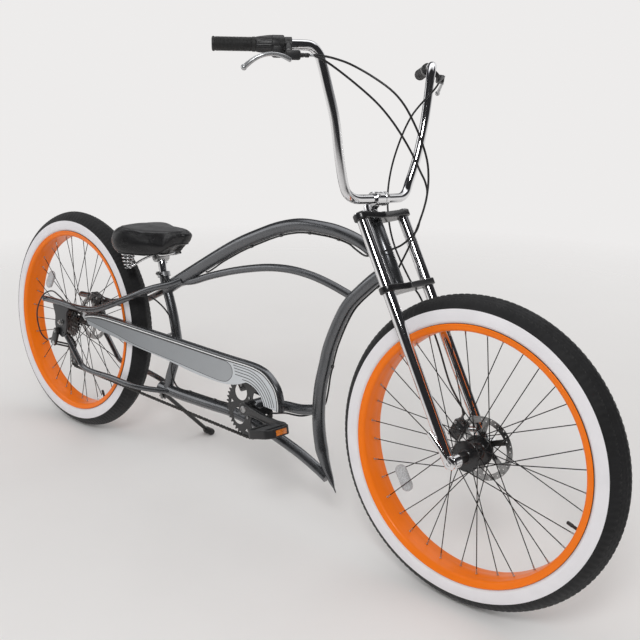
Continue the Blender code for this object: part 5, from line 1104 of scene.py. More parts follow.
def shifter():
    """The twist shifter: a ribbed ring that grows out of the grip, a collar and the cable pod below it."""
    tip, run, _, ahead = lever_place(RIGHT)[:4]
    start = tip + run * TWIST_START

    def ribs(index, step):
        """Grip ribs round the ring."""
        return -0.0008 if 3 <= index <= 7 and step % 6 < 3 else 0.0

    profile = [(0.0119, 0.0), (0.015, 0.0), (0.0162, 0.0012), (0.017, 0.006), (0.0182, 0.015),
               (0.0194, 0.024), (0.02, 0.031), (0.0203, 0.0345), (0.0196, 0.0356), (0.0205, 0.0364),
               (0.0205, 0.06), (0.019, 0.0625), (0.0119, 0.0625)]
    parts = [(lathe(profile, start, run, 96, True, ribs), PLASTIC)]
    pod = start + run * 0.048 + ahead * 0.005 - UP * 0.013
    turn = axes_matrix(run, ahead, run.cross(ahead))
    parts.append((block(pod, (0.027, 0.03, 0.03), turn, 0.007, 4), PLASTIC))
    way = start + run * 0.056 + ahead * 0.011 - UP * 0.02
    parts.append((sweep(*domed([way, way + run * 0.012, way + run * 0.03], [0.0058, 0.0052, 0.0036], True,
                               False), 20), PLASTIC))
    piece("twist_shifter_ribbed", "black_plastic", parts, "steering", "twist_shifter")


handlebar()
grips()
levers()
shifter()


# Cranks, toothed ring, chain and pedals
def pitch_radius(teeth):
    """Radius of the circle through the rollers round a sprocket."""
    return CHAIN_PITCH / (2 * math.sin(math.pi / teeth))


def toothed(teeth, phase=0.0):
    """Outline of a sprocket."""
    radius = pitch_radius(teeth)
    outline = [polar(radius + reach, math.tau * (index + share + phase) / teeth)
                for index in range(teeth)
                for share, reach in ((-0.5, -0.004), (-0.36, -0.0036), (-0.2, 0.001), (-0.09, 0.004),
                                     (0.09, 0.004), (0.2, 0.001), (0.36, -0.0036))]
    return outline


def cranks():
    """Crank arms that flare outwards, toothed ring with round windows, and spindle."""
    windows, screws = [], []
    for quarter in range(4):
        windows.append(circle(polar(0.0524, math.radians(42.0 + 90.0 * quarter)), 0.025, 44))
        at = math.radians(87.0 + 90.0 * quarter)
        windows.append([polar(radius, at + turn)
                        for radius, turn in ((0.064, 0.0), (0.0745, 0.085), (0.0745, -0.085))])
        x, z = polar(0.03, at)
        screws.append(bolt(BRACKET + Vector((x, CHAINRING_Y - 0.001, z)), -SIDEWAYS, 0.004, 0.0024, 20))
    ring = plate([toothed(44)] + windows + [circle((0.0, 0.0), 0.0115, 32)], 0.0022,
                 round_axle(BRACKET + SIDEWAYS * CHAINRING_Y), 0.0003)
    piece("chainring_toothed", "black_paint", [(ring, BLACK), (joined(screws), STEEL)], "crank", "chainring")
    for side, word in SIDES:
        places = [0.026 + 0.008 * i for i in range(16)]
        widths = [0.0128 - 0.0022 * min(1.0, (at - 0.026) / 0.05) for at in places]
        outline = (arc((0.0, 0.0), 0.019, 60.0, 300.0, 24) + [(at, -wide) for at, wide in zip(places, widths)]
                   + arc((CRANK_LENGTH, 0.0), 0.013, -100.0, 100.0, 18)
                   + [(at, wide) for at, wide in reversed(list(zip(places, widths)))])
        turn = Matrix.Rotation(math.radians(90.0), 4, "X")
        if side == LEFT:
            turn = turn @ Matrix.Rotation(math.pi, 4, "Z")
        holes = [circle((0.0, 0.0), 0.0088, 28), circle((CRANK_LENGTH, 0.0), 0.0063, 24)]
        points, faces = plate([outline] + holes, 0.0124, turn, 0.0026, 4)
        flare = ARM_Y - ARM_ROOT_Y
        bent = [BRACKET + p + SIDEWAYS * side * (ARM_ROOT_Y + flare * eased(-side * p.x / 0.135))
                for p in points]
        parts = [((bent, faces), BLACK)]
        inner = abs(CHAINRING_Y) + 0.0014 if side == RIGHT else 0.047
        reach = ARM_ROOT_Y - inner - 0.002
        boss = [(0.0088, 0.0), (0.0163, 0.0), (0.0165, 0.0006), (0.0165, reach), (0.0088, reach)]
        parts.append((lathe(boss, BRACKET + SIDEWAYS * side * inner, SIDEWAYS * side, 40, True), BLACK))
        face = BRACKET + SIDEWAYS * side * (ARM_ROOT_Y + 0.006)
        parts.append((lathe([(0.0, 0.0), (0.0105, 0.0), (0.01, 0.0016), (0.007, 0.0022), (0.0066, 0.001),
                             (0.0, 0.001)], face, SIDEWAYS * side, 32), STEEL))
        piece("crank_%s_forged" % word, "black_paint", parts, "crank", "crank_" + word)
    half = SIDEWAYS * (ARM_ROOT_Y + 0.0058)
    piece("crank_spindle_dressed", "steel", [(rod(BRACKET - half, BRACKET + half, 0.0085), STEEL)], "crank",
          "crank_spindle")


def pedals():
    """Platform pedals with cages, studs and amber reflectors."""
    for side, word in SIDES:
        centre = BRACKET + Vector((-side * CRANK_LENGTH, side * PEDAL_Y, 0.0))
        outline = rounded([(-0.032, -0.044), (0.032, -0.044), (0.048, -0.028), (0.048, 0.028), (0.032, 0.044),
                           (-0.032, 0.044), (-0.048, 0.028), (-0.048, -0.028)], 0.008)
        slots = [rounded([(x, -0.034), (x + 0.016, -0.034), (x + 0.016, 0.034), (x, 0.034)], 0.004)
                 for x in (-0.036, 0.02)]
        parts = [(plate([outline] + slots, 0.0236, Matrix.Translation(centre), 0.0022, 3), PLASTIC),
                 (rod(centre - SIDEWAYS * side * 0.062, centre + SIDEWAYS * side * 0.03, 0.006), STEEL),
                 (rod(centre - SIDEWAYS * 0.034, centre + SIDEWAYS * 0.034, 0.0105, 0.002), PLASTIC)]
        studs = [lathe([(0.0, 0.0), (0.0022, 0.0), (0.0018, 0.0009), (0.0, 0.001)],
                        centre + Vector((x, y, way * 0.0112)), UP * way, 12)
                  for x in (-0.042, 0.042) for y in (-0.022, -0.0075, 0.0075, 0.022) for way in (1, -1)]
        parts.append((joined(studs), PLASTIC))
        for end in (-1, 1):
            at = centre + FORWARD * end * 0.047
            parts.append((block(at, (0.004, 0.04, 0.015), None, 0.0012, 2), AMBER))
        tilt = math.radians(15.0 if side == RIGHT else 35.0)
        turn = Matrix.Translation(centre) @ Matrix.Rotation(-tilt, 4, "Y") @ Matrix.Translation(-centre)
        parts = [(([turn @ Vector(p) for p in points], faces), look) for (points, faces), look in parts]
        piece("pedal_%s_dressed" % word, "black_plastic", parts, "pedal_" + word, "pedal_" + word)


def tangent(first, second, turn_first, turn_second):
    """The straight run that leaves one circle and meets the next; turn is +1 anticlockwise."""
    (c1, r1), (c2, r2) = first, second
    dx, dz = c2[0] - c1[0], c2[1] - c1[1]
    r1s, r2s = r1 * turn_first, r2 * turn_second
    normal = math.atan2(dz, dx) - math.acos((r1s - r2s) / math.hypot(dx, dz))
    nx, nz = math.cos(normal), math.sin(normal)
    return (c1[0] + r1s * nx, c1[1] + r1s * nz), (c2[0] + r2s * nx, c2[1] + r2s * nz)


SHIFT_ENTRY = Vector((-0.032, 0.0, -0.01))
KNUCKLE = placed(-0.03, -0.063, -DROPOUT_FACE - 0.006)
JOCKEYS = [((0.018, 0.3), 11), ((0.045, 0.252), 11)]


def chain_path():
    """The chain's closed centre line as fine points."""
    circles = [((BRACKET.x, BRACKET.z), pitch_radius(44)), ((0.0, AXLE_HEIGHT), pitch_radius(22))]
    circles += [(centre, pitch_radius(teeth)) for centre, teeth in JOCKEYS]
    turns = [1, 1, -1, 1]
    runs = [tangent(circles[i], circles[(i + 1) % 4], turns[i], turns[(i + 1) % 4]) for i in range(4)]
    line = []
    for index in range(4):
        centre, radius = circles[index]
        start, end = runs[index - 1][1], runs[index][0]
        a = math.atan2(start[1] - centre[1], start[0] - centre[0])
        b = math.atan2(end[1] - centre[1], end[0] - centre[0])
        while turns[index] * (b - a) < 0:
            b += math.tau * turns[index]
        line += arc(centre, radius, math.degrees(a), math.degrees(b), 60)
    return line


def chain():
    """A roller chain, link by link."""
    line = [Vector((x, CHAINRING_Y, z)) for x, z in chain_path()]
    line.append(line[0])
    lengths = [0.0]
    for before, after in zip(line, line[1:]):
        lengths.append(lengths[-1] + (after - before).length)
    count = 2 * round(lengths[-1] / CHAIN_PITCH / 2)
    pins, cursor = [], 0
    for index in range(count):
        at = lengths[-1] * index / count
        while lengths[cursor + 1] < at:
            cursor += 1
        share = (at - lengths[cursor]) / max(1e-9, lengths[cursor + 1] - lengths[cursor])
        pins.append(line[cursor].lerp(line[cursor + 1], share))
    plates, rollers = [], []
    for index in range(count):
        a, b = pins[index], pins[(index + 1) % count]
        way = (b - a).normalized()
        square = Vector((-way.z, 0.0, way.x))
        length = (b - a).length
        turns = (-1.2, -0.6, 0.0, 0.6, 1.2)
        outline = ([(-0.004 * math.cos(t), 0.004 * math.sin(t)) for t in turns] + [(length / 2, 0.0027)]
                   + [(length + 0.004 * math.cos(t), -0.004 * math.sin(t)) for t in turns]
                   + [(length / 2, -0.0027)])
        offset = 0.0033 if index % 2 else 0.0023
        for side in (RIGHT, LEFT):
            points = [a + way * x + square * z + SIDEWAYS * y
                      for y in (side * offset - 0.00045, side * offset + 0.00045) for x, z in outline]
            rings = [list(range(len(outline))), list(range(len(outline), len(points)))]
            plates.append((points, rings + bands(rings)))
        rollers.append(lathe([(0.0, -0.004), (0.0018, -0.004), (0.0018, -0.0018), (0.0038, -0.0018),
                              (0.0038, 0.0018), (0.0018, 0.0018), (0.0018, 0.004), (0.0, 0.004)], a, SIDEWAYS,
                             12))
    piece("chain_links", "steel", [(joined(plates), CHAIN_STEEL), (joined(rollers), CHAIN_STEEL)], "frame",
          "chain")


def cassette():
    """Seven toothed cogs on a carrier."""
    parts = []
    for index in range(7):
        radius = 0.0567 - index * 0.0048
        teeth = round(math.pi / math.asin(CHAIN_PITCH / 2 / (radius - 0.004)))
        y = -0.0391 - index * 0.005 - 0.0009
        place = round_axle(AXLE_REAR + SIDEWAYS * y)
        holes = [circle((0.0, 0.0), 0.0131, 28)]
        if index < 3:
            holes += [circle(polar(radius - 0.016, math.tau * i / 7), 0.006 - index * 0.0008, 16)
                      for i in range(7)]
        parts.append((plate([toothed(teeth, index * 0.3)] + holes, 0.0018, place, 0.0002),
                      BLACK if index < 1 else STEEL))
    parts.append((pipe(AXLE_REAR - SIDEWAYS * 0.0391, AXLE_REAR - SIDEWAYS * 0.0709, 0.016, 0.0131, 32),
                  STEEL))
    piece("cassette_toothed", "steel", parts, "rear_wheel", "cassette")


cranks()
pedals()
chain()
cassette()


# Chain guard
GUARD_Y = -0.064
GUARD_TOP = [(0.12, 0.043), (0.126, 0.047), (0.16, 0.0555), (0.2, 0.0605), (0.246, 0.0625), (0.4, 0.0625),
             (0.6, 0.0625), (0.74, 0.0622), (0.825, 0.0622), (0.91, 0.0633), (0.9513, 0.0612),
             (0.9841, 0.0537), (1.0133, 0.0358), (1.0347, 0.0132), (1.047, -0.019), (1.05, -0.044)]
GUARD_BOTTOM = [(0.898, 0.001), (0.8726, -0.0086), (0.8207, -0.0177), (0.731, -0.0198), (0.6607, -0.0163),
                (0.5878, -0.0094), (0.4972, -0.0042), (0.3973, 0.0001), (0.2814, 0.0074), (0.1534, 0.0174),
                (0.1353, 0.028)]
GUARD_INNER = 0.0785
FLANGE = [(0.0008, -0.0662), (-0.0018, -0.0656), (-0.0038, -0.064), (-0.0048, -0.0612), (-0.005, -0.056),
          (-0.005, -0.0475), (-0.0032, -0.0475), (-0.0032, -0.0606), (-0.0014, -0.0626), (0.0008, -0.0634)]
INSET = [(0.2868, 0.0208), (0.4132, 0.0064), (0.5875, -0.0019), (0.7304, -0.0094), (0.7983, -0.0118),
         (0.826, -0.0095), (0.8416, -0.003), (0.854, 0.01), (0.8576, 0.022), (0.855, 0.035), (0.8474, 0.044),
         (0.835, 0.0495), (0.8165, 0.0513), (0.74, 0.0515), (0.6, 0.0515), (0.4, 0.0515), (0.246, 0.0515),
         (0.2, 0.0495), (0.16, 0.0445), (0.134, 0.0385), (0.131, 0.0357)]


def shifted(points, distance):
    """A line moved sideways to its right by a distance."""
    made = []
    for index, (x, z) in enumerate(points):
        x0, z0 = points[max(index - 1, 0)]
        x1, z1 = points[min(index + 1, len(points) - 1)]
        length = math.hypot(x1 - x0, z1 - z0)
        made.append((x + (z1 - z0) / length * distance, z - (x1 - x0) / length * distance))
    return made


def strip(line, inner, outer, y, thickness=0.0005):
    """A thin raised band that follows a line between two offsets."""
    return plate([shifted(line, inner) + list(reversed(shifted(line, outer)))], thickness, side_plane(y),
                 0.0001)


def eased_line(points, per_span=5):
    """A smooth (x, z) line through points measured from the rear axle."""
    return [(p.x, p.y) for p in smooth([Vector((x, z + AXLE_HEIGHT, 0.0)) for x, z in points], per_span)]


def rolled_edge(line, section):
    """A closed section of (offset, y) carried along a line."""
    rows = [[Vector((x, y, z)) for x, z in shifted(line, offset)] for offset, y in section]
    sides = len(section)
    rings = [list(range(j * sides, (j + 1) * sides)) for j in range(len(line))]
    return [p for ring in zip(*rows) for p in ring], bands(rings) + [rings[0], list(reversed(rings[-1]))]


def chain_guard():
    """The silver panel with painted light that pales it towards the front, its rolled dark edge, black and
    white lines, an inset ringed in painted shade, and curved grooves drawn as strips of painted shade.
    """
    centre = (BRACKET.x, BRACKET.z)
    top = eased_line(GUARD_TOP)
    bottom = eased_line(GUARD_BOTTOM)
    inner = arc(centre, GUARD_INNER, 21.0, 92.0, 36)
    face = GUARD_Y - 0.002
    parts = [(plate([top + inner + bottom], 0.004, side_plane(GUARD_Y), 0.0008, 2), GUARD_SILVER_PAINTED_LIGHT),
             (rolled_edge(top, FLANGE), GRAPHITE)]
    parts += [(strip(top[4:], low, high, face), look)
              for low, high, look in ((0.0004, 0.003, BLACK), (0.003, 0.0062, PINSTRIPE),
                                      (0.0062, 0.0092, BLACK))]
    inset = eased_line(INSET + INSET[:1], 4)[:-1]
    # The inset, ringed by a dark line of painted shade.
    parts += [(plate([shifted(inset, 0.0016)], 0.0004, side_plane(face), 0.0001), GROOVE_PAINTED_SHADE),
              (plate([inset], 0.0008, side_plane(face), 0.0001), GUARD_INSET_PAINTED_LIGHT)]
    # The curved grooves: raised strips in a dark grey of painted shade.
    for start, reach in ((0.86, 0.119), (0.864, 0.111), (0.868, 0.1025), (0.87, 0.0935), (0.9, 0.085)):
        line = ([(start + (BRACKET.x - start) * i / 6, BRACKET.z + reach) for i in range(6)]
                + arc(centre, reach, 90.0, 17.0, 40))
        parts.append((strip(line, 0.0, 0.0021, face), GROOVE_PAINTED_SHADE))
    lug = placed(0.525, 0.055, GUARD_Y + 0.002)
    parts += [(rod(lug, placed(0.525, 0.063, -0.012), 0.004), STEEL),
              (rod(placed(0.152, 0.048, GUARD_Y + 0.002), placed(0.152, 0.07, -0.056), 0.004), STEEL)]
    tab = [(0.101, 0.425), (0.118, 0.412), (0.129, 0.426), (0.124, 0.437), (0.108, 0.444)]
    parts.append((plate([tab], 0.003, side_plane(GUARD_Y + 0.003), 0.0006), ALLOY))
    piece("chain_guard_striped", "silver_paint", parts, "frame", "chain_guard")


chain_guard()


# Gear changer
def derailleur():
    """Gear changer: hanger bolt, parallelogram, cage plates and two toothed jockey wheels."""
    parts = []
    (ux, uz), (lx, lz) = JOCKEYS[0][0], JOCKEYS[1][0]
    heading = math.degrees(math.atan2(lz - uz, lx - ux))
    outline = [p for at, turn in ((JOCKEYS[0][0], 90.0), (JOCKEYS[1][0], -90.0))
               for p in arc(at, 0.0115, heading + turn, heading + turn + 180.0, 16)]
    parts += [(plate([outline], 0.0018, side_plane(y), 0.0004), BLACK)
              for y in (CHAINRING_Y - 0.0062, CHAINRING_Y + 0.0062)]
    for (x, z), teeth in JOCKEYS:
        outline = [(px * 0.9, pz * 0.9) for px, pz in toothed(teeth)]
        pin = [Vector((x, CHAINRING_Y + end, z)) for end in (-0.008, 0.008)]
        parts += [(plate([outline], 0.003, round_axle((x, CHAINRING_Y, z)), 0.0003), PLASTIC),
                  (rod(*pin, 0.0034, 0.0006, 20), STEEL)]
    hanger = placed(-0.02, -0.033, -DROPOUT_FACE)
    parts += [(rod(hanger, hanger - SIDEWAYS * 0.012, 0.011, 0.0016, 36), BLACK),
              (bolt(hanger - SIDEWAYS * 0.0118, -SIDEWAYS, 0.006, 0.0026, 24), STEEL)]
    turn = Matrix.Rotation(0.35, 4, "Y")
    parts.append((block(KNUCKLE, (0.026, 0.012, 0.05), turn, 0.003, 3), BLACK))
    end = Vector((ux, CHAINRING_Y - 0.007, uz))
    start = KNUCKLE - UP * 0.016
    parts += [(sweep([start + UP * drop, start.lerp(end, 0.5) + UP * drop, end + UP * drop], 0.0042, 18, 0.7),
               BLACK)
              for drop in (0.0045, -0.0045)]
    parts += [(rod(start - SIDEWAYS * 0.007, start + SIDEWAYS * 0.006, 0.007, 0.0012, 28), ALLOY),
              (rod(KNUCKLE, KNUCKLE + SHIFT_ENTRY, 0.004, 0.0008, 20), PLASTIC)]
    piece("derailleur_linked", "black_paint", parts, "frame", "derailleur")


derailleur()


# Side stand
def side_stand():
    """The stand's leg with its foot, and its bracket."""
    pivot = Vector((0.415, 0.05, 0.205))
    drop = AXLE_HEIGHT * math.cos(math.pi / 46) * math.cos(LEAN_ANGLE) + 0.0412 * 0.2 * math.sin(LEAN_ANGLE)
    foot_y = 0.2355
    height = AXLE_HEIGHT - drop / math.cos(LEAN_ANGLE) + foot_y * math.tan(LEAN_ANGLE)
    foot = Vector((0.43, foot_y, height + 0.012))
    axis = (foot - pivot).normalized().cross(Vector((-0.97, 0.12, -0.2)).normalized()).normalized()
    leg = smooth([pivot, pivot.lerp(foot, 0.33), pivot.lerp(foot, 0.66), foot], 4)
    parts = [(sweep(leg, 0.007, 28), BLACK),
             (pipe(pivot - axis * 0.009, pivot + axis * 0.009, 0.0125, 0.0051, 40), BLACK)]
    shoe = [foot - FORWARD * 0.012, foot - FORWARD * 0.006, foot + FORWARD * 0.024, foot + FORWARD * 0.03]
    parts.append((sweep(shoe, [0.009, 0.0118, 0.0118, 0.009], 28), GRIP))
    piece("side_stand_shod", "black_paint", parts, "side_stand", "side_stand")
    parts = [(rod(pivot - axis * 0.0195, pivot + axis * 0.0195, 0.0045), STEEL)]
    for side in (RIGHT, LEFT):
        parts.append((rod(pivot + axis * side * 0.0105, pivot + axis * side * 0.0145, 0.0125, 0.0008, 36),
                      BLACK))
        shift = axis * side * 0.015
        parts.append((sweep([pivot + shift, placed(0.46, -0.134) + shift], 0.004, 18), BLACK))
    piece("stand_bracket_welded", "black_paint", parts, "frame", "stand_bracket")


side_stand()


# Seat post, springs and saddle
def post_direction():
    """The seat post's direction, upwards and back."""
    lean = math.radians(108.0)
    return Vector((math.cos(lean), 0.0, math.sin(lean)))


POST_BASE = placed(0.455, 0.248)
POST_TOP = POST_BASE + post_direction() * 0.06


def seat_post():
    """Seat post and its collar with a quick-release lever."""
    along = post_direction()
    piece("seatpost_plated", "chrome", [(rod(POST_BASE - along * 0.04, POST_TOP, 0.0127, 0.001, 40), CHROME)],
          "frame", "seatpost")
    low, high = POST_BASE - along * 0.016, POST_BASE - along * 0.001
    parts = [(pipe(low, high, 0.0205, 0.0163, 44), ALLOY)]
    ear = POST_BASE - along * 0.0085 - FORWARD * 0.0215
    parts.append((rod(ear - SIDEWAYS * 0.012, ear + SIDEWAYS * 0.012, 0.0062, 0.001, 24), STEEL))
    blade = [ear - SIDEWAYS * 0.011]
    blade += [ear + Vector(at) for at in ((0.01, -0.019, 0.002), (0.032, -0.024, 0.004),
                                          (0.052, -0.024, -0.006), (0.064, -0.024, -0.028))]
    widths = [0.004 + 0.0022 * i / 20 for i in range(21)]
    parts.append((sweep(*domed(smooth(blade, 5), widths, False, True), 18, 0.6, SIDEWAYS), BLACK))
    piece("seat_collar_lever", "black_paint", parts, "frame", "seat_collar")


def coil(centre, low, high, narrow, wide, turns, wire):
    """A helical spring, narrow at its foot and wide at its top."""
    route = []
    steps = turns * 28
    for index in range(steps + 1):
        t = index / steps
        reach = narrow + (wide - narrow) * math.sin(math.pi * min(1.0, t * 1.15) / 2)
        angle = math.tau * turns * t
        rise = low + (high - low) * t
        route.append(centre + Vector((reach * math.cos(angle), reach * math.sin(angle), rise)))
    return sweep(route, wire, 12)


def saddle_carrier():
    """The clamp, the rails and the pair of coil springs."""
    along = post_direction()
    under = POST_TOP - along * 0.012
    parts = [(rod(under - SIDEWAYS * 0.024, under + SIDEWAYS * 0.024, 0.015, 0.002, 40), STEEL)]
    for side in (RIGHT, LEFT):
        parts.append((nut(under + SIDEWAYS * side * 0.0236, SIDEWAYS * side, 0.0086, 0.0056), STEEL))
        rail = [POST_TOP + Vector((x, y * side, z)) for x, y, z in
                [(0.0835, 0.012, 0.014), (0.0435, 0.018, 0.002), (-0.0065, 0.021, -0.006),
                 (-0.045, 0.037, -0.026), (-0.063, 0.06, -0.046), (-0.07, 0.072, -0.048)]]
        parts.append((sweep(smooth(rail, 8), 0.0038, 20), CHROME))
        foot = rail[-1] - UP * 0.006
        tall = 0.0097 - (foot.z - POST_TOP.z)
        parts += [(lathe([(0.0, end), (wide - 0.0005, end), (wide, end + 0.0006),
                          (wide - 0.0005, end + 0.003), (0.0, end + 0.003)], foot, UP, 36), CHROME)
                  for end, wide in ((0.0, 0.01), (tall - 0.003, 0.022))]
        parts += [(coil(foot, 0.0045, tall - 0.0045, 0.0085, 0.0195, 5, 0.0025), CHROME),
                  (rod(foot + UP * 0.002, foot + UP * (tall - 0.002), 0.004, 0.0006, 20), STEEL)]
    piece("saddle_springs", "chrome", parts, "frame", "saddle_carrier")


SADDLE_PLAN = [(0.133, 0.019), (0.1, 0.033), (0.06, 0.045), (0.02, 0.064), (-0.018, 0.088), (-0.054, 0.108),
               (-0.0915, 0.116), (-0.1215, 0.098), (-0.1365, 0.05)]
SADDLE_LEVELS = [(0.6, 0.003), (0.76, 0.0004), (0.84, 0.0012), (0.895, 0.005), (0.94, 0.012), (0.97, 0.02),
                 (0.988, 0.028), (0.996, 0.0325), (0.998, 0.0345), (0.996, 0.0366), (0.99, 0.0385),
                 (0.98, 0.042), (0.955, 0.05), (0.915, 0.0575), (0.86, 0.0635), (0.78, 0.0685),
                 (0.68, 0.0718), (0.56, 0.0735), (0.43, 0.0742), (0.3, 0.0744), (0.17, 0.0742),
                 (0.06, 0.0741)]
WELT_HEIGHT, PANEL_SHARE = 0.0022, 0.8
SWELL = 0.006


def saddle_loop():
    """The saddle's plan as a closed line round its middle."""
    left = [Vector((x, y, 0.0)) for x, y in SADDLE_PLAN]
    half = smooth([Vector((0.139, 0.0, 0.0))] + left + [Vector((-0.139, 0.0, 0.0))], 7)
    return half[:-1] + [Vector((p.x, -p.y, 0.0)) for p in reversed(half)][:-1]


def saddle_point(p, share, height):
    """A point of the saddle's skin: its skirt hangs low behind and its nose is cut away underneath."""
    rise = 0.016 * max(0.0, p.x / 0.1235) if height < 0.045 else 0.012 * max(0.0, p.x / 0.1235) * share
    hang = (-0.015 + 0.029 * eased((p.x - 0.03) / 0.09)) * min(1.0, max(0.0, (0.05 - height) / 0.028))
    dip = 0.0
    if height > 0.06:
        dip = 0.0012 * math.exp(-((p.y * share) / 0.022) ** 2) + 0.005 * max(0.0, p.x * share / 0.1235)
    fore = 0.5 + share / 2 if p.x > 0 and height > 0.036 else share
    return POST_TOP + Vector((p.x * fore, p.y * share, 0.01 + height + rise + hang - dip))


def evaluated(made):
    """The mesh of an object as its modifiers leave it."""
    return bpy.data.meshes.new_from_object(made.evaluated_get(bpy.context.evaluated_depsgraph_get()))


def swollen(made, cap):
    """The padding: the shell remeshed, blown out as cloth under pressure by up to the cap, and smoothed."""
    scene = bpy.context.scene
    work = shown("saddle_work", made.data.copy())
    remesh = work.modifiers.new("remesh", "REMESH")
    remesh.mode = "VOXEL"
    remesh.voxel_size = 0.0045
    even = evaluated(work)
    work.modifiers.clear()
    work.data = even
    upright = LEAN.inverted()
    held = work.vertex_groups.new(name="held")
    floor = POST_TOP.z + 0.018
    held.add([v.index for v in even.vertices if (upright @ v.co).z < floor], 1.0, "REPLACE")
    cloth = work.modifiers.new("padding", "CLOTH")
    cloth.settings.quality = 5
    cloth.settings.use_pressure = True
    cloth.settings.uniform_pressure_force = 4.0
    cloth.settings.effector_weights.gravity = 0.0
    cloth.settings.vertex_group_mass = "held"
    cloth.point_cache.frame_start = 1
    cloth.point_cache.frame_end = 20
    for frame in range(1, 21):
        scene.frame_set(frame)
    blown = evaluated(work)
    work.modifiers.clear()
    scene.frame_set(1)
    for start, end in zip(even.vertices, blown.vertices):
        move = end.co - start.co
        start.co += move if move.length <= cap else move.normalized() * cap
    even.update()
    finer = work.modifiers.new("finer", "SUBSURF")
    finer.levels = 1
    made.data = evaluated(work)
    bpy.data.objects.remove(work)


def saddle():
    """A broad padded saddle: a hanging skirt, a piped edge and a crowned top with a sewn panel."""
    loop = saddle_loop()
    count = len(loop)
    points = [saddle_point(p, share, height) for share, height in SADDLE_LEVELS for p in loop]
    rings = [list(range(level * count, (level + 1) * count)) for level in range(len(SADDLE_LEVELS))]
    faces = bands(rings) + [rings[0]] + [[rings[-1][i], rings[-1][(i + 1) % count], len(points)]
                                         for i in range(count)]
    points.append(sum((points[i] for i in rings[-1]), Vector()) / count)
    made = piece("saddle_padded", "saddle_vinyl", [((points, faces), VINYL)], "frame", "saddle",
                 sharp_deg=60.0)
    swollen(made, SWELL)
    sewn(made, loop)


def sewn(made, loop):
    """The seam of the top panel as a groove, the sewn panel's lighter look that paints light falling on the
    top, and the piping round the edge.
    """
    mesh = made.data
    skin = BVHTree.FromPolygons([v.co.copy() for v in mesh.vertices],
                                [list(p.vertices) for p in mesh.polygons])
    dense = smooth(loop + loop[:1], 5)[:-1]
    seam = [skin.find_nearest(LEAN @ saddle_point(p, PANEL_SHARE, 0.068))[0] for p in dense]
    near = KDTree(len(seam))
    for index, point in enumerate(seam):
        near.insert(point, index)
    near.balance()
    upright = LEAN.inverted()
    for vertex in mesh.vertices:
        gap = near.find(vertex.co)[2]
        if gap < 0.008:
            vertex.co -= (LEAN.to_3x3() @ UP) * 0.0016 * math.exp(-(gap / 0.0024) ** 2)
    mesh.materials.append(VINYL_TOP_PAINTED_LIGHT)
    outline = [(p.x * PANEL_SHARE * (1.06 if p.x > 0 else 1.0), p.y * PANEL_SHARE) for p in loop]
    # Faces of the top panel take the lighter look, painted light on the top.
    for face in mesh.polygons:
        face.use_smooth = True
        at = upright @ face.center - POST_TOP
        if at.z > 0.058 and inside(at.x, at.y, outline):
            face.material_index = 1
    mesh.update()
    route = []
    for p in dense:
        spot, normal = skin.find_nearest(LEAN @ saddle_point(p, 0.87, WELT_HEIGHT))[:2]
        route.append(upright @ (spot + normal * 0.0004))
    piping = sweep(route + route[:2], 0.0021, 12)
    thread = [upright @ (point + (LEAN.to_3x3() @ UP) * 0.0002) for point in seam[::3]]
    stitches = [rod(a.lerp(b, 0.2), a.lerp(b, 0.8), 0.0006, 0.0002, 8)
                for a, b in zip(thread, thread[1:] + thread[:1]) if (b - a).length > 0.002]
    piece("saddle_piping", "saddle_vinyl", [(piping, VINYL), (joined(stitches), THREAD)], "frame")


def inside(x, y, outline):
    """Whether a point lies inside a closed outline."""
    within = False
    for (ax, ay), (bx, by) in zip(outline, outline[1:] + outline[:1]):
        if (ay > y) != (by > y) and x < (bx - ax) * (y - ay) / (by - ay) + ax:
            within = not within
    return within


seat_post()
saddle_carrier()
saddle()

# Brake calipers
CALIPER_DEPTH, CALIPER_WIDTH, CALIPER_LENGTH = 0.032, 0.03, 0.048
FRONT_CALIPER_AT, REAR_CALIPER_AT = 158.0, 74.0


def caliper_place(axle, at_deg, rotor_y):
    """A caliper's middle, its direction away from the axle and the one along the disc's edge."""
    radial, along = spoke_axes(at_deg)
    return axle + radial * (ROTOR_RADIUS - 0.002) + SIDEWAYS * rotor_y, radial, along


def caliper_entry(axle, at_deg, rotor_y):
    """Where the cable enters the caliper, and the direction that it comes from."""
    centre, radial, along = caliper_place(axle, at_deg, rotor_y)
    return centre + radial * 0.011 + SIDEWAYS * 0.008 - along * (CALIPER_LENGTH / 2 + 0.0008), -along


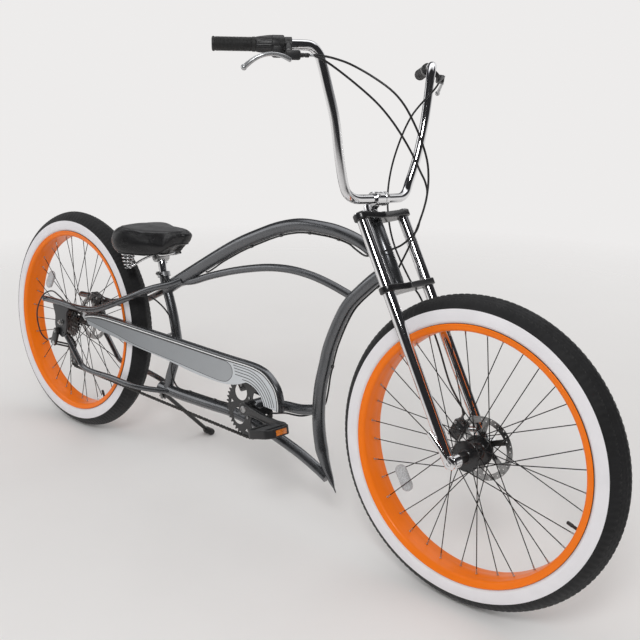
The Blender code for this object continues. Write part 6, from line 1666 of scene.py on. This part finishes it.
def caliper(name, axle, at_deg, rotor_y, mount, body, node):
    """A cable disc brake: two halves bolted over the disc, piston caps, pull arm and a silver adapter."""
    centre, radial, along = caliper_place(axle, at_deg, rotor_y)
    turn = Matrix.Rotation(-math.radians(at_deg), 4, "Y")
    half = CALIPER_WIDTH / 2
    parts = []
    for side, inner in ((RIGHT, -0.0024), (LEFT, 0.0024)):
        middle = centre + SIDEWAYS * ((side * half + inner) / 2)
        parts.append((block(middle, (CALIPER_DEPTH, half - 0.0024, CALIPER_LENGTH), turn, 0.0028, 3), BLACK))
        cap = centre + SIDEWAYS * side * (half - 0.0004) - radial * 0.004
        parts.append((lathe([(0.0, 0.0), (0.0125, 0.0), (0.0125, 0.0014), (0.0112, 0.0026), (0.005, 0.0028),
                             (0.0044, 0.0014), (0.0, 0.0014)], cap, SIDEWAYS * side, 36), BLACK))
    parts.append((block(centre + radial * 0.0095, (0.012, 0.012, CALIPER_LENGTH * 0.96), turn, 0.0016, 2),
                  BLACK))
    for way in (-1, 1):
        screw = centre + radial * 0.01 + along * way * 0.0175 - SIDEWAYS * (half - 0.0006)
        parts.append((bolt(screw, -SIDEWAYS, 0.0042, 0.003, 20), STEEL))
    pull = centre - SIDEWAYS * (-half - 0.0006)
    arm = [pull + radial * 0.002, pull + radial * 0.006 + along * 0.01, pull + radial * 0.011 + along * 0.019]
    parts.append((sweep(smooth(arm, 4), 0.0042, 16, 0.5, SIDEWAYS), STEEL))
    plate_at = centre.lerp(mount, 0.42) + SIDEWAYS * 0.002
    parts += [(rod(centre + SIDEWAYS * CALIPER_WIDTH * 0.3, mount, 0.0075, 0.001, 28), ALLOY),
              (bolt(plate_at + radial * 0.007 - SIDEWAYS * 0.006, -SIDEWAYS, 0.0046, 0.004, 20), STEEL)]
    entry, away = caliper_entry(axle, at_deg, rotor_y)
    parts.append((lathe([(0.0, 0.0), (0.0046, 0.0), (0.0046, 0.008), (0.0036, 0.0092), (0.0036, 0.0125),
                         (0.0, 0.0125)], entry - away * 0.0122, away, 20), ALLOY))
    piece(name, "black_paint", parts, body, node)


caliper("front_caliper_dressed", AXLE_FRONT, FRONT_CALIPER_AT, FRONT_ROTOR_Y,
        steer_point(0.045, LEG_LEAD, LEG_SPREAD - 0.006), "steering", "front_caliper")
caliper("rear_caliper_dressed", AXLE_REAR, REAR_CALIPER_AT, REAR_ROTOR_Y,
        beside(UPPER_STAY_ROUTE, LEFT, 2)[3] - SIDEWAYS * 0.002, "frame", "rear_caliper")


# Cables, each along the points that its solid follows
CABLE_RADIUS, CABLE_GAP = 0.0025, 0.0005
FRONT_BRAKE_HANG = [(0.0032, 0.23, 0.3552), (0.0074, 0.2, 0.3304), (-0.0151, 0.14, 0.2582),
                    (-0.0482, 0.13, 0.1592), (-0.0539, 0.12, 0.0677), (-0.0345, 0.11, -0.0139),
                    (0.003, 0.1, -0.0822), (0.0712, 0.088, -0.1598), (0.1087, 0.085, -0.1972),
                    (0.17, 0.08, -0.292), (0.2187, 0.075, -0.3813), (0.26, 0.064, -0.423)]
REAR_BRAKE_HANG = [(0.0243, -0.17, 0.3613), (0.1044, -0.12, 0.3126), (0.1474, -0.09, 0.2548),
                   (0.1811, -0.06, 0.1622), (0.1768, -0.04, 0.0819), (0.1544, -0.026, 0.0203),
                   (0.1423, -0.024, -0.0124), (0.1049, -0.028, -0.0488), (0.0644, -0.033, -0.0668),
                   (0.035, -0.033, -0.077), (0.003, -0.024, -0.089), (-0.03, -0.011, -0.086)]
SHIFT_HANG = [(0.0012, -0.2226, 0.3605), (0.0724, -0.13, 0.2847), (0.1271, -0.09, 0.2115),
              (0.1579, -0.05, 0.1353), (0.1568, -0.01, 0.0792), (0.1225, 0.005, -0.0165),
              (0.0752, 0.025, -0.0994), (0.056, 0.03, -0.1284)]
REAR_BRAKE_TAIL = [(0.65, 0.015, 0.279), (0.61, 0.029, 0.276), (0.55, 0.04, 0.265), (0.49, 0.048, 0.235),
                   (0.42, 0.058, 0.202), (0.34, 0.07, 0.164), (0.26, 0.079, 0.129), (0.19, 0.08, 0.104),
                   (0.135, 0.07, 0.093)]
SHIFT_MIDDLE = [(1.14, 0.025, -0.01), (1.115, 0.018, -0.042), (1.07, 0.006, -0.064), (1.012, 0.006, -0.072),
                (0.96, 0.01, -0.088), (0.917, 0.013, -0.097), (0.87, 0.022, -0.105), (0.825, 0.021, -0.108)]
SHIFT_CLIMB = [(0.56, -0.018, -0.105), (0.54, -0.027, -0.05), (0.552, -0.022, 0.02), (0.545, -0.024, 0.08),
               (0.52, -0.032, 0.13), (0.47, -0.052, 0.17), (0.41, -0.069, 0.167)]
SHIFT_LOOP = [(0.04, -0.092, 0.085), (-0.03, -0.093, 0.107), (-0.09, -0.093, 0.085), (-0.128, -0.093, 0.035),
              (-0.134, -0.093, -0.01), (-0.112, -0.092, -0.06)]


def strapped(line, radii, facing, turn_deg, start, end):
    """Points of a cable strapped along a tube between two places in X, with the tube's nearest points."""
    turn = math.radians(turn_deg)
    points = []
    for index in range(1, len(line) - 1):
        if not min(start, end) <= line[index].x <= max(start, end):
            continue
        ahead = (line[index + 1] - line[index - 1]).normalized()
        over = ahead.cross(SIDEWAYS * RIGHT).normalized()
        if over.dot(facing) < 0.0:
            over = -over
        aside = SIDEWAYS * RIGHT - ahead * ahead.dot(SIDEWAYS * RIGHT)
        radius = radii[index] if isinstance(radii, list) else radii
        points.append(line[index] + (over * math.cos(turn) + aside.normalized() * math.sin(turn))
                      * (radius + CABLE_RADIUS + CABLE_GAP))
    return points


def clip(points, index, tube_at):
    """A small clip that holds a cable to its tube."""
    here = points[index]
    way = (points[min(index + 1, len(points) - 1)] - points[max(index - 1, 0)]).normalized()
    inward = (tube_at - here)
    inward = (inward - way * inward.dot(way)).normalized()
    return [(pipe(here - way * 0.004, here + way * 0.004, 0.004, 0.0026, 20), BLACK),
            (rod(here + inward * 0.003, here + inward * 0.0062, 0.0028, 0.0006, 14), BLACK)]


def nearest(line, point):
    """The point of a line that is nearest to a point."""
    return min(line, key=lambda p: (p - point).length)


def from_mouth(mouth, run, hang):
    """The first points of a cable: out of its lever or shifter, then hanging free."""
    return [mouth + run * at for at in (0.0008, 0.008, 0.025)] + [bar_point(*p) for p in hang]


def into(end, away):
    """The last points of a cable, straight into its end."""
    return [end + away * at for at in (0.016, 0.006, 0.0)]


def clips_on(points, tube, indices):
    """Clips that hold a cable to a tube at some of its points."""
    return [part for index in indices for part in clip(points, index, nearest(tube, points[index]))]


def cables():
    """The front brake's cable, which turns with the fork, and the two that run from the bar to the frame."""
    top, down, lower = (in_plane(route, 2) for route in (TOP_ROUTE, DOWN_ROUTE, LOWER_ROUTE))
    stay = beside(UPPER_STAY_ROUTE, RIGHT, 2)
    middle, climb, loop, tail = ([placed(x, z, y) for x, y, z in row]
                                 for row in (SHIFT_MIDDLE, SHIFT_CLIMB, SHIFT_LOOP, REAR_BRAKE_TAIL))

    _, run, _, _, _, mouth = lever_place(LEFT)
    end = into(*caliper_entry(AXLE_FRONT, FRONT_CALIPER_AT, FRONT_ROTOR_Y))
    housing("front_brake", smooth(from_mouth(mouth, run, FRONT_BRAKE_HANG) + end, 8), [], "steering")

    tip, run, _, ahead, _, mouth = lever_place(RIGHT)
    end = into(*caliper_entry(AXLE_REAR, REAR_CALIPER_AT, REAR_ROTOR_Y))
    along = strapped(top, tapered(*TOP_RADII, len(top), 0.7), UP, 180.0, 1.21, 0.7)
    route = smooth(from_mouth(mouth, run, REAR_BRAKE_HANG) + along[:1], 2)[:-1] + along
    route += smooth(along[-1:] + tail + end, 2)[1:]
    clips = clips_on(along, top, [min(index, len(along) - 1) for index in (1, 4, 7, 10)])
    housing("rear_brake", smooth(route, 4), clips, None,
            (Vector((1.4, -0.09, 1.11)), Vector((1.3315, 0.03, 0.7717))))

    mouth = tip + run * (TWIST_START + 0.086) + ahead * 0.011 - UP * 0.02
    on_down = [p for p in strapped(down, pointed(len(down)), FORWARD, -40.0, 1.31, 1.14)
               if p.z > BRACKET.z + 0.075]
    on_lower = strapped(lower, tapered(*LOWER_RADII, len(lower)), UP, 0.0, 0.76, 0.6)
    on_stay = strapped(stay, STAY_RADIUS, UP, 90.0, 0.34, 0.1)
    for points in (on_lower, on_stay):
        points.sort(key=lambda p: -p.x)
    end = KNUCKLE + SHIFT_ENTRY + SHIFT_ENTRY.normalized() * 0.0008
    route = smooth(from_mouth(mouth, run, SHIFT_HANG) + on_down[:1], 2)[:-1] + on_down
    route += smooth(on_down[-1:] + middle + on_lower[:1], 2)[1:-1] + on_lower
    route += smooth(on_lower[-1:] + climb + on_stay[:1], 2)[1:-1] + on_stay
    route += smooth(on_stay[-1:] + loop + [end + SHIFT_ENTRY * at for at in (0.6, 0.2, 0.0)], 2)[1:]
    clips = [part for points, tube, last in ((on_down, down, 2), (on_lower, lower, 1), (on_stay, stay, 2))
             for part in clips_on(points, tube, (1, len(points) - last))]
    housing("shift", smooth(route, 4), clips, None,
            (Vector((1.42, -0.09, 1.15)), Vector((1.28, -0.024, 0.811))))


def housing(word, route, clips, body, bend=None):
    """A cable's housing with its end ferrules, riding on a body, or with none staying fixed between the bar and
    the frame, its placement baked into the mesh when bend is given.
    """
    parts = [(sweep(route, CABLE_RADIUS, 14), HOUSING)]
    for end, inner in ((0, 3), (-1, -4)):
        way = (route[inner] - route[end]).normalized()
        parts.append((pipe(route[end] + way * 0.0002, route[end] + way * 0.01, 0.0031, 0.0026, 20), ALLOY))
    made = piece("cable_%s_housing" % word, "black_plastic", parts, body, "cable_" + word)
    if clips:
        piece("cable_%s_clips" % word, "black_plastic", clips, "frame")
    if bend:
        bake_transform(made)


cables()
